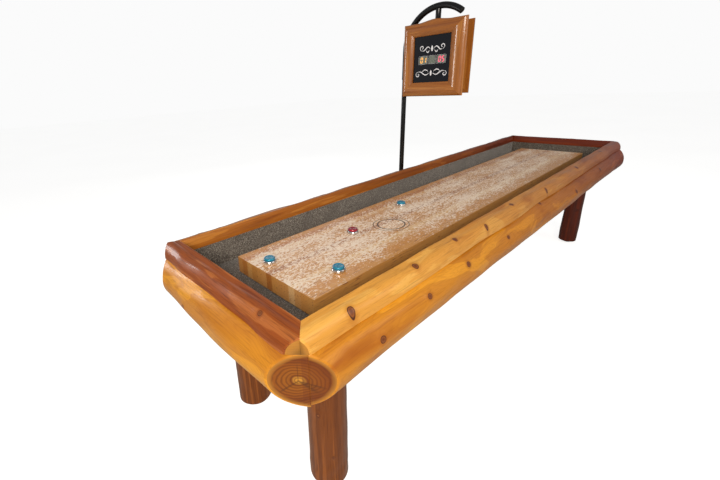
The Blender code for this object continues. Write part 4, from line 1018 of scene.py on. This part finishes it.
def leveler(name):
    """A leveling foot: a pressed pad with a collar above it, turned round in place of a hexagon, and a fine
    threaded stud.
    """
    low, high = corners(f"leveler_{name}")
    centre = (low + high) / 2
    centre[2] = 0
    profile = [(0, 0), (0.0275, 0), (0.030, 0.0025), (0.030, 0.006), (0.0285, 0.0075), (0.016, 0.0105),
               (0.011, 0.0115), (0.011, 0.0175), (0.0105, 0.018), (0.006, 0.018)]
    threads = 26
    for turn in range(threads):
        foot = 0.019 + turn * (high[2] - 0.020) / threads
        profile += [(0.0059, foot), (0.0052, foot + 0.0008)]
    profile += [(0.0055, high[2] - 0.0008), (0, high[2])]
    piece = turned(f"leveling_foot_{name}", profile, centre, sides=40)
    done(piece, f"leveler_{name}", "zinc_steel", f"leveler_{name}", finishes=(ZINC,))


for name in LEGS:
    leveler(name)
    refinish(f"leg_plate_{name}", BLACK)


# ---- Pucks ----
PUCK = 0.02935
PUCK_COLOURS = {1: BLUE, 2: BLUE, 3: RED, 4: BLUE}
CAP_SLOTS = {1: "blue_cap", 2: "blue_cap", 3: "red_cap", 4: "blue_cap"}


def puck(number):
    """A shuffleboard puck: a chromed weight with a soft waist, and a domed cap with a dished middle."""
    low, high = corners(f"puck_{number}_weight")
    centre = (low + high) / 2
    centre[2] = low[2]
    tall = high[2] - low[2]
    bore = 0.0092
    profile = [(bore, 0), (0.0255, 0), (0.0265, 0.0004), (PUCK - 0.0012, 0.0016),
               (PUCK - 0.0002, 0.0032)]
    profile += [(PUCK, 0.005), (PUCK, tall - 0.005), (PUCK - 0.0004, tall - 0.0032),
                (PUCK - 0.0022, tall - 0.0008), (PUCK - 0.0034, tall), (bore, tall)]
    weight = turned(f"chromed_weight_{number}", profile, centre, sides=96, smooth_angle=30)
    done(weight, f"puck_{number}", "chrome", f"puck_{number}_weight", finishes=(CHROME,))
    base = tall + FIT
    cap = [(0, 0.003), (0.008, 0.003), (0.008, base), (0.0240, base), (0.0245, base + 0.0006)]
    cap += [(0.0245, base + 0.0045), (0.0240, base + 0.0070), (0.0228, base + 0.0088),
            (0.0208, base + 0.0098)]
    cap += [(0.0190, base + 0.0100), (0.0172, base + 0.0096), (0.0160, base + 0.0084),
            (0.0152, base + 0.0080)]
    cap += [(0.0095, base + 0.0078), (0.0088, base + 0.0082), (0.0080, base + 0.0082),
            (0.0073, base + 0.0077)]
    cap += [(0.0, base + 0.0076)]
    top = turned(f"flake_cap_{number}", cap, centre, sides=96, smooth_angle=40)
    done(top, f"puck_{number}_top", CAP_SLOTS[number], f"puck_{number}_cap",
         finishes=(PUCK_COLOURS[number],))


for number in PUCK_COLOURS:
    puck(number)


# ---- Pole ----
arm_low, arm_high = corners("hook_arm")
PIPE = (corners("score_post")[1] - corners("score_post")[0])[0] / 2
ARM = PIPE + 0.0028
ARM_BORE = PIPE - 0.0012
ARC = 0.240
ARC_SWEEP = math.radians(128.7)
ARC_Z = arm_high[2] - ARC - ARM
BAR_THICK = 0.006
WELD_CLEAN = 0.00001  # points of a weld closer than this are one point
AXIS = Vector((POST_X, POST_Y, 0))


def arm_place(bend):
    """The frame at an angle round the arm's arc, Z along the pipe."""
    centre = Matrix.Translation(AXIS + Vector((0, -ARC, ARC_Z)))
    return centre @ Matrix.Rotation(bend, 4, "X") @ Matrix.Translation((0, ARC, 0))


def facing_x(point, sign):
    return Matrix.Translation(point) @ Matrix.Rotation(sign * math.pi / 2, 4, "Y")


def joined(piece, *others):
    """Weld others into a piece where they meet it."""
    for other in others:
        union = piece.modifiers.new("Weld", "BOOLEAN")
        union.operation = "UNION"
        union.object = other
    flatten(piece)
    for other in others:
        bpy.data.objects.remove(other)
    # the weld leaves hair-thin faces, which are taken out and closed
    with reshaping(piece.data) as shape:
        bmesh.ops.triangulate(shape, faces=shape.faces)
        bmesh.ops.remove_doubles(shape, verts=shape.verts, dist=WELD_CLEAN)
        bmesh.ops.dissolve_degenerate(shape, edges=shape.edges, dist=WELD_CLEAN)
        bmesh.ops.holes_fill(shape, edges=[edge for edge in shape.edges if edge.is_boundary])
        bmesh.ops.recalc_face_normals(shape, faces=shape.faces)
    return piece


def flatten(piece, smooth_angle=35):
    """Keep what a piece's modifiers make of it as its plain mesh."""
    graph = bpy.context.evaluated_depsgraph_get()
    mesh = bpy.data.meshes.new_from_object(piece.evaluated_get(graph), depsgraph=graph)
    piece.modifiers.clear()
    piece.data = mesh
    mesh.shade_smooth()
    mesh.set_sharp_from_angle(angle=math.radians(smooth_angle))


def box(name, low, high, edge, segments=3):
    """A block with rounded edges, as plain as a sawn or pressed piece is."""
    shape = bmesh.new()
    bmesh.ops.create_cube(shape, size=1)
    low, high = Vector(low), Vector(high)
    bmesh.ops.transform(shape, matrix=Matrix.Diagonal((*(high - low), 1)), verts=shape.verts)
    bmesh.ops.translate(shape, vec=(low + high) / 2, verts=shape.verts)
    bmesh.ops.bevel(shape, geom=shape.edges[:], offset=edge, segments=segments, affect="EDGES",
                    profile=0.5)
    return linked(name, shape, 50)


def hooked_arm():
    """The swivelling arm: a stepped sleeve over the post and a long bend; its welded stub and flange are
    added in scoreboard_arm.
    """
    shoulder = corners("score_post")[1][2] + FIT
    lower = arm_low[2]
    outer = [(ARM - 0.0006, lower), (ARM, lower + 0.0008)]
    outer += [(ARM, z) for z in np.linspace(lower + 0.02, ARC_Z, 8)]
    inner = [(PIPE + 0.0007, lower), (PIPE + 0.0007, shoulder), (ARM_BORE, shoulder + FIT),
             (ARM_BORE, ARC_Z)]
    spokes = np.arange(48) * TAU / 48

    def ring(radius, place):
        return [place @ Vector((radius * math.cos(t), radius * math.sin(t), 0)) for t in spokes]

    upright = [ring(r, Matrix.Translation(AXIS + Vector((0, 0, z)))) for r, z in outer]
    bends = np.linspace(0, ARC_SWEEP, 64)[1:]
    upright += [ring(ARM, arm_place(bend)) for bend in bends[:-1]]
    upright += [ring(ARM - 0.0004, arm_place(bends[-1]))]
    back = [ring(ARM_BORE, arm_place(bend)) for bend in bends[::-1]]
    back += [ring(r, Matrix.Translation(AXIS + Vector((0, 0, z)))) for r, z in inner[::-1]]
    return skin("hooked_pipe_arm", np.array(upright + back), closed=True)


def scoreboard_arm():
    arm = hooked_arm()
    bolts = [sum(corners(f"hanger_bolt_{name}")) / 2 for name in ("left", "right")]
    middle = (bolts[0] + bolts[1]) / 2
    flange_low = corners("scoreboard_case")[1][2] + FIT
    arc_at_stub = ARC_Z + math.sqrt(ARC**2 - (ARC - (POST_Y - middle[1])) ** 2)
    foot = flange_low + 0.005
    stub = [(0, flange_low + 0.001), (0.0175, flange_low + 0.001),
            (0.0175, arc_at_stub - ARM_BORE - 0.002),
            (0, arc_at_stub - ARM_BORE - 0.002)]
    stub = turned("stub", stub, (middle[0], middle[1], 0), sides=48)
    bead = [(0.010, foot - 0.001), (0.0215, foot - 0.001), (0.0208, foot + 0.0018),
            (0.0190, foot + 0.0034),
            (0.0176, foot + 0.0040), (0.010, foot + 0.0040)]
    bead = turned("weld_bead", bead, (middle[0], middle[1], 0), sides=48)
    flange = box("flange", (middle[0] - 0.024, middle[1] - 0.05, flange_low),
                 (middle[0] + 0.024, middle[1] + 0.05, foot), 0.0015)
    lock = (corners("arm_lock_screw")[0] + corners("arm_lock_screw")[1]) / 2
    boss = turned("boss", rounded([(0, PIPE + 0.002), (0.0078, PIPE + 0.002), (0.0078, ARM + 0.006),
                                   (0, ARM + 0.006)], 0.0008), (0, 0, 0), sides=24,
                  frame_matrix=facing_x((POST_X, POST_Y, lock[2]), 1))
    joined(arm, stub, bead, flange, boss)
    done(arm, "scoreboard_arm", "black_steel", "hook_arm", finishes=(BLACK,))


def pipe_post():
    low, high = corners("score_post")
    profile = [(0.0141, low[2]), (PIPE - 0.0006, low[2]), (PIPE, low[2] + 0.0006)]
    profile += [(PIPE, high[2] - 0.0006), (PIPE - 0.0006, high[2]), (0.0141, high[2])]
    post = turned("pipe_post", profile, (POST_X, POST_Y, 0), sides=48)
    done(post, "root", "black_steel", "score_post", finishes=(BLACK,))


def post_socket():
    """The flat bar under the middle rail and the turned cup that the pipe stands in, with their weld."""
    low, high = corners("post_socket")
    bar_top = BOX_BOTTOM - FIT
    bar = box("socket_bar", (low[0], low[1], bar_top - BAR_THICK), (high[0], high[1], bar_top), 0.0012)
    bore = PIPE + 0.0007
    profile = [(bore, bar_top + 0.0001), (bore, high[2] - 0.001), (bore + 0.001, high[2]),
               (bore + 0.0038, high[2]), (bore + 0.0045, high[2] - 0.001),
               (bore + 0.0045, bar_top + 0.004),
               (bore + 0.0075, bar_top - 0.001), (bore + 0.0075, bar_top - 0.002),
               (bore, bar_top - 0.002)]
    cup = turned("cup", profile, (POST_X, POST_Y, 0), sides=48)
    joined(bar, cup)
    bar.name = "welded_post_socket"
    done(bar, "root", "black_steel", "post_socket", finishes=(BLACK,))


def pipe_strap():
    """A pressed strap, bent round the pipe, with eased edges."""
    low, high = corners("post_strap")
    inner, outer = PIPE + 0.0007, high[1] - POST_Y
    face = -PIPE
    ears = (high[0] - low[0]) / 2
    turns = np.linspace(0, math.pi, 25)
    outline = [(-ears, face - 0.003), (-inner, face - 0.003)]
    outline += [(-inner * math.cos(t), inner * math.sin(t)) for t in turns]
    outline += [(inner, face - 0.003), (ears, face - 0.003), (ears, face), (outer, face)]
    outline += [(outer * math.cos(t), outer * math.sin(t)) for t in turns]
    outline += [(-outer, face), (-ears, face)]
    shape = bmesh.new()
    foot = [shape.verts.new((POST_X + x, POST_Y + y, low[2])) for x, y in outline]
    face_made = shape.faces.new(foot)
    raised = bmesh.ops.extrude_face_region(shape, geom=[face_made])
    tops = [part for part in raised["geom"] if isinstance(part, bmesh.types.BMVert)]
    bmesh.ops.translate(shape, vec=(0, 0, high[2] - low[2]), verts=tops)
    bmesh.ops.recalc_face_normals(shape, faces=shape.faces)
    strap = linked("pressed_strap", shape)
    ease = strap.modifiers.new("Ease", "BEVEL")
    ease.width = 0.0006
    ease.segments = 2
    ease.angle_limit = math.radians(50)
    flatten(strap)
    done(strap, "root", "black_steel", "post_strap", finishes=(BLACK,))


def end_plug():
    """A rubber plug, plain where the real one is ribbed, with a domed lip, pushed into the end of the arm.
    """
    place = arm_place(ARC_SWEEP)
    stem = ARM_BORE - 0.0008
    profile = [(0, -0.008), (stem - 0.0008, -0.008), (stem, 0.0003), (ARM - 0.0006, 0.0003),
               (ARM, 0.0010)]
    profile += [(ARM - 0.0004, 0.0022), (ARM * 0.9, 0.0031), (ARM * 0.6, 0.0037), (0, 0.0039)]
    plug = turned("domed_end_plug", profile, (0, 0, 0), sides=48, frame_matrix=place)
    done(plug, "scoreboard_arm", "black_rubber", "arm_end_plug", finishes=(RUBBER,))


scoreboard_arm()
pipe_post()
post_socket()
pipe_strap()
end_plug()
for name in ("arm_lock_screw", "hanger_bolt_left", "hanger_bolt_right", "strap_screw_near",
             "strap_screw_far"):
    refinish(name, ZINC)


# ---- Scoreboard ----
CASE_STAIN = sawn_pine("stained_case_pine", False, STAINED)
MITRE_GAP = 0.0002
# (share of the way from the outer to the inner edge, depth off the case): a rounded moulding
MOULDING_SHAPE = ((0, 0), (0, 0.008), (0.012, 0.0105), (0.05, 0.0158), (0.10, 0.0198), (0.17, 0.0236),
                  (0.25, 0.0263), (0.34, 0.0278), (0.44, 0.0280), (0.54, 0.0273), (0.64, 0.0257),
                  (0.73, 0.0234),
                  (0.82, 0.0200), (0.90, 0.0158), (0.96, 0.0120), (0.99, 0.0100), (1.0, 0.0085),
                  (1.0, 0))
BUMP_START, BUMP_END, BUMP_HEIGHT = 0.22, 0.78, 0.0125
PRINT = 0.0002  # thickness of the screen print
CASE_LAP = 0.0325  # how far a frame laps in over the case
WINDOW_HEIGHT = 0.047
# (place of a window's middle from the panel's middle, width), left to right as it is read
WINDOWS = ((0.0625, 0.060), (-0.0030, 0.048), (-0.0685, 0.060))
WINDOW_RISE = -0.003


def frame_face(front):
    """Where a frame's back lies against the case."""
    low, high = corners("front_frame" if front < 0 else "rear_frame")
    return high[0] if front < 0 else low[0]


def frame_rail(name, front, start, end, bump):
    """One rail of a score frame, mitred at both ends; start and end are its (outer, inner) corners."""
    shares = np.linspace(0, 1, 60)[:, None]
    outer = start[0] + (end[0] - start[0]) * shares
    inner = start[1] + (end[1] - start[1]) * shares
    shape = np.array(MOULDING_SHAPE)
    across = outer[:, None, :] + (inner - outer)[:, None, :] * shape[None, :, :1]
    lift = bump * np.sin(math.pi * np.clip((shares - BUMP_START) / (BUMP_END - BUMP_START), 0, 1)) ** 2
    rings = np.empty((len(shares), len(shape), 3))
    rings[..., 0] = frame_face(front) + front * shape[None, :, 1]
    rings[..., 1] = across[..., 0]
    rings[..., 2] = across[..., 1] + lift * (1 - shape[None, :, 0])
    return skin(name, rings)


def score_frame(name, front):
    """Four rounded rails round the window, each with its own grain, joined into one glued frame."""
    low, high = corners(name)
    top = high[2] - 0.013
    outer = np.array([(low[1], low[2]), (high[1], low[2]), (high[1], top), (low[1], top)])
    case_low, case_high = corners("scoreboard_case")
    inner_low, inner_high = case_low[1:] + CASE_LAP, case_high[1:] - CASE_LAP
    inner = np.array([inner_low, (inner_high[0], inner_low[1]), inner_high,
                      (inner_low[0], inner_high[1])])
    rails = []
    for number in range(4):
        after = (number + 1) % 4
        start, end = (outer[number], inner[number]), (outer[after], inner[after])
        run = (end[0] - start[0]) / np.linalg.norm(end[0] - start[0])
        gap = run * MITRE_GAP
        start, end = (start[0] + gap, start[1] + gap), (end[0] - gap, end[1] - gap)
        rail = frame_rail(f"{name}_rail_{number}", front, start, end, BUMP_HEIGHT if number == 2 else 0)
        points, _, _ = loops_of(rail)
        y, z = points[:, 1] - outer[number][0], points[:, 2] - outer[number][1]
        along = y * run[0] + z * run[1]
        across = z * run[0] - y * run[1]
        heart = 0.016 + 0.010 * number
        grain = np.stack([along + number * 2.3 + front, across - heart,
                          (points[:, 0] - low[0]) * 1.3 + 0.03], -1)
        store(rail, "grain", grain)
        store(rail, "knot", np.full(len(grain), 9.0))
        rails.append(rail)
    piece = merged(f"varnished_{name}", rails)
    done(piece, "scoreboard_arm", "frame_pine", name, finishes=(MOULDING,))


def merged(name, parts):
    """Several meshes kept apart inside one piece, with their attributes and finishes."""
    with bpy.context.temp_override(active_object=parts[0], object=parts[0], selected_objects=parts,
                                   selected_editable_objects=parts):
        bpy.ops.object.join()
    parts[0].name = name
    return parts[0]


def stroke(points, width, depth, face, front):
    """A flat printed stroke along (across, up) points, tapered towards both ends."""
    points = [Vector(point) for point in points]
    count = len(points)
    left, right = [], []
    for number, point in enumerate(points):
        before, after = points[max(number - 1, 0)], points[min(number + 1, count - 1)]
        run = (after - before).normalized()
        half = width / 2 * (0.25 + 0.75 * math.sin(math.pi * (number + 0.5) / count))
        side_step = Vector((-run.y, run.x)) * half
        left.append(point + side_step)
        right.append(point - side_step)
    shape = bmesh.new()
    layers = []
    for level in (face, face + front * depth):
        layers.append([[shape.verts.new((level, p.x, p.y)) for p in edge] for edge in (left, right)])
    for number in range(count - 1):
        (low_left, low_right), (top_left, top_right) = layers
        for a, b in ((low_left, low_right), (top_left, top_right), (low_left, top_left),
                     (low_right, top_right)):
            shape.faces.new((a[number], a[number + 1], b[number + 1], b[number]))
    for number in (0, count - 1):
        (low_left, low_right), (top_left, top_right) = layers
        shape.faces.new((low_left[number], low_right[number], top_right[number], top_left[number]))
    bmesh.ops.recalc_face_normals(shape, faces=shape.faces)
    return linked("stroke", shape)


def plain_ornament(face, front, middle, height, half, up):
    """A symmetrical flourish: a lozenge, and on each side a wave that ends in a curl, and a leaf."""
    strokes = [stroke([(middle, height + t) for t in np.linspace(-0.017, 0.017, 13)], 0.014, PRINT,
                      face, front)]
    for hand in (-1, 1):
        wave = [(0.014 + (half - 0.036) * t, 0.011 * math.sin(TAU * 0.85 * t)) for t in np.linspace(0,
                1, 24)]
        end_x, end_y = wave[-1]
        curl = []
        for t in np.linspace(0, 1, 22):
            radius = 0.017 * (1 - 0.72 * t)
            turn = -math.pi / 2 + TAU * 1.05 * t
            curl.append((end_x + 0.004 + radius * math.cos(turn),
                         end_y + 0.017 + radius * math.sin(turn)))
        leaf = [(0.020 + (half - 0.070) * t,
                 -0.010 - 0.012 * math.sin(math.pi * t)) for t in np.linspace(0, 1, 16)]
        for line, width in ((wave, 0.0065), (curl, 0.0055), (leaf, 0.0060)):
            points = [(middle + hand * x, height + up * y) for x, y in line]
            strokes.append(stroke(points, width, PRINT, face, front))
    return strokes


def score_panel(name, front):
    """The panel's white print and the thin bezels round its three windows; the panel itself stays."""
    low, high = corners(name)
    face = low[0] if front < 0 else high[0]
    middle_y = (low[1] + high[1]) / 2
    middle_z = (low[2] + high[2]) / 2
    refinish(name, NAVY)
    printed = plain_ornament(face, front, middle_y, middle_z + 0.066, 0.092, 1)
    printed += plain_ornament(face, front, middle_y, middle_z - 0.086, 0.115, -1)
    for centre, width in WINDOWS:
        y = middle_y - front * centre
        z = middle_z + WINDOW_RISE
        reach_y, reach_z = width / 2 + 0.0022, WINDOW_HEIGHT / 2 + 0.0022
        corners_of = [(y - reach_y, z - reach_z), (y + reach_y, z - reach_z),
                      (y + reach_y, z + reach_z),
                      (y - reach_y, z + reach_z)]
        for start, end in zip(corners_of, corners_of[1:] + corners_of[:1]):
            line = [Vector(start).lerp(Vector(end), t) for t in np.linspace(0, 1, 5)]
            printed.append(stroke(line, 0.0012, PRINT, face, front))
    print_piece = merged(f"{name}_print", printed)
    done(print_piece, "scoreboard_arm", "panel_navy", finishes=(WHITE_PRINT,))


SEGMENTS = {"0": "abcdef", "1": "bc", "5": "acdfg", " ": ""}
SEGMENT_LINES = {"a": ((0, 1), (1, 1)), "b": ((1, 1), (1, 0.5)), "c": ((1, 0.5), (1, 0)),
                 "d": ((0, 0), (1, 0)),
                 "e": ((0, 0), (0, 0.5)), "f": ((0, 0.5), (0, 1)), "g": ((0, 0.5), (1, 0.5))}
DIGIT_WIDTH, DIGIT_HEIGHT, DIGIT_SLANT = 0.0135, 0.032, 0.10
BAR_HALF = 0.0023


def digit(face, front, left, foot, shown, lit, unlit):
    """A seven-segment digit standing a hair off its filter: six-sided bars, lit or dull."""
    bars = []
    for letter, (start, end) in SEGMENT_LINES.items():
        ends = []
        for across, up in (start, end):
            height = up * DIGIT_HEIGHT
            ends.append(Vector((left + front * (across * DIGIT_WIDTH + DIGIT_SLANT * height),
                                foot + height)))
        run = (ends[1] - ends[0]).normalized()
        begin, finish_at = ends[0] + run * 0.0010, ends[1] - run * 0.0010
        side_step = Vector((-run.y, run.x)) * BAR_HALF
        outline = [begin, begin + run * BAR_HALF + side_step, finish_at - run * BAR_HALF + side_step,
                   finish_at,
                   finish_at - run * BAR_HALF - side_step, begin + run * BAR_HALF - side_step]
        shape = bmesh.new()
        rings = [[shape.verts.new((level, p.x, p.y)) for p in outline] for level in (face,
                face + front * 0.0003)]
        shape.faces.new(rings[0])
        shape.faces.new(rings[1])
        for number in range(6):
            after = (number + 1) % 6
            shape.faces.new((rings[0][number], rings[0][after], rings[1][after], rings[1][number]))
        bmesh.ops.recalc_face_normals(shape, faces=shape.faces)
        bar = linked("segment", shape)
        bar.data.materials.append(lit if letter in SEGMENTS[shown] else unlit)
        bars.append(bar)
    return bars


UNLIT = moulded_plastic("unlit_segment", "#565b52", 0.35, 0.5)
ORANGE_SCORE, RED_SCORE, BLANK = ("01", GLOW_ORANGE), ("05", GLOW_RED), ("", UNLIT)
SHOWN = {-1: (ORANGE_SCORE, BLANK, RED_SCORE), 1: (RED_SCORE, BLANK, ORANGE_SCORE)}


def score_displays(name, front):
    """Digits on the three grey filters that show through the panel's windows."""
    refinish(name, FILTER)
    low, high = corners(name)
    panel_low, panel_high = corners(name.replace("displays", "panel"))
    middle_y, middle_z = (panel_low[1] + panel_high[1]) / 2, (panel_low[2] + panel_high[2]) / 2
    face = low[0] if front < 0 else high[0]
    bars = []
    for (centre, _), (text, glow) in zip(WINDOWS, SHOWN[front]):
        y = middle_y - front * centre
        foot = middle_z + WINDOW_RISE - DIGIT_HEIGHT / 2
        pitch = 0.0235
        for number in range(2):
            shown = text[number] if text else " "
            left = y + front * ((number - 0.5) * pitch - DIGIT_WIDTH / 2 - DIGIT_SLANT * DIGIT_HEIGHT / 2)
            bars += digit(face, front, left, foot, shown, glow, UNLIT)
    piece = merged(f"{name}_digits", bars)
    done(piece, "scoreboard_arm", "display_plastic")


score_frame("front_frame", -1)
score_frame("rear_frame", 1)
for front, word in ((-1, "front"), (1, "rear")):
    score_panel(f"{word}_panel", front)
    score_displays(f"{word}_displays", front)
refinish("scoreboard_case", CASE_STAIN)


# ---- Floor, lights and camera ----
def studio_floor():
    """A plain pale floor, far wider than the view."""
    shape = bmesh.new()
    bmesh.ops.create_grid(shape, x_segments=1, y_segments=1, size=30)
    floor = linked("studio_floor", shape)
    made, tree, shader = finish("pale_studio_floor", Base_Color="#ececea", Roughness=0.9)
    place = add(tree, "ShaderNodeTexCoord").outputs["Object"]
    cloud = add(tree, "ShaderNodeTexNoise", {"Vector": place, "Scale": 0.6, "Detail": 1.0})
    tone = add(tree, "ShaderNodeValToRGB", {"Fac": cloud}, [(0.3, "#b7b7b5"), (0.7, "#bdbdbb")])
    tree.links.new(tone.outputs[0], shader.inputs["Base Color"])
    shader.inputs["Emission Color"].default_value = linear("#ffffff")
    seen = add(tree, "ShaderNodeLightPath").outputs["Is Camera Ray"]
    lift = add(tree, "ShaderNodeMath", {0: seen, 1: 0.80}, operation="MULTIPLY")
    tree.links.new(lift.outputs[0], shader.inputs["Emission Strength"])
    floor.data.materials.append(made)


def area_light(name, place, aim, size, power, colour="#ffffff"):
    lamp = bpy.data.lights.new(name, "AREA")
    lamp.shape = "RECTANGLE"
    lamp.size, lamp.size_y = size
    lamp.energy = power
    lamp.color = linear(colour)[:3]
    holder = bpy.data.objects.new(name, lamp)
    holder.location = place
    holder.rotation_euler = (Vector(aim) - Vector(place)).to_track_quat("-Z", "Y").to_euler()
    bpy.context.scene.collection.objects.link(holder)


def studio_world():
    """Soft light from all round, and a plain pale backdrop."""
    world = bpy.data.worlds.new("studio_world")
    bpy.context.scene.world = world
    world.use_nodes = True
    tree = world.node_tree
    background = tree.nodes["Background"]
    background.inputs["Color"].default_value = linear("#fbfbfb")
    seen = add(tree, "ShaderNodeLightPath").outputs["Is Camera Ray"]
    strength = add(tree, "ShaderNodeMapRange", {"Value": seen, "To Min": 0.30, "To Max": 1.0})
    tree.links.new(strength.outputs[0], background.inputs["Strength"])


def view_camera():
    """The viewpoint: low over the near right corner of the table, looking along the lane."""
    data = bpy.data.cameras.new("view_camera")
    data.sensor_width = 36
    data.lens = 18.03
    data.shift_x = 0.0858
    data.shift_y = -0.0375
    data.clip_start = 0.05
    holder = bpy.data.objects.new("view_camera", data)
    right = Vector((0.7577, -0.6503, -0.0552))
    up = Vector((0.2550, 0.2172, 0.9422))
    back = right.cross(up).normalized()
    place = Matrix((right, up, back)).transposed().to_4x4()
    place.translation = Vector((*MIDDLE[:2], PLAY_TOP)) + Vector((-2.4114, -1.0820, 0.7163))
    holder.matrix_world = place
    bpy.context.scene.collection.objects.link(holder)
    bpy.context.scene.camera = holder


studio_floor()
studio_world()
area_light("key_light", (-4.6, -3.2, 3.4), (-0.8, 0, 0.8), (2.6, 2.0), 265, "#fff6ea")
area_light("side_fill", (0.8, -4.5, 3.0), (-0.2, 0, 0.8), (3.5, 2.5), 45, "#fff8f0")
area_light("frame_glint", (-3.2, 3.4, 1.75), (0.0, 0.3, 1.6), (0.5, 1.5), 24)
area_light("back_fill", (1.5, 4.5, 3.2), (0, 0, 0.9), (3.5, 2.5), 25)
view_camera()
bpy.context.scene.view_settings.view_transform = "Standard"
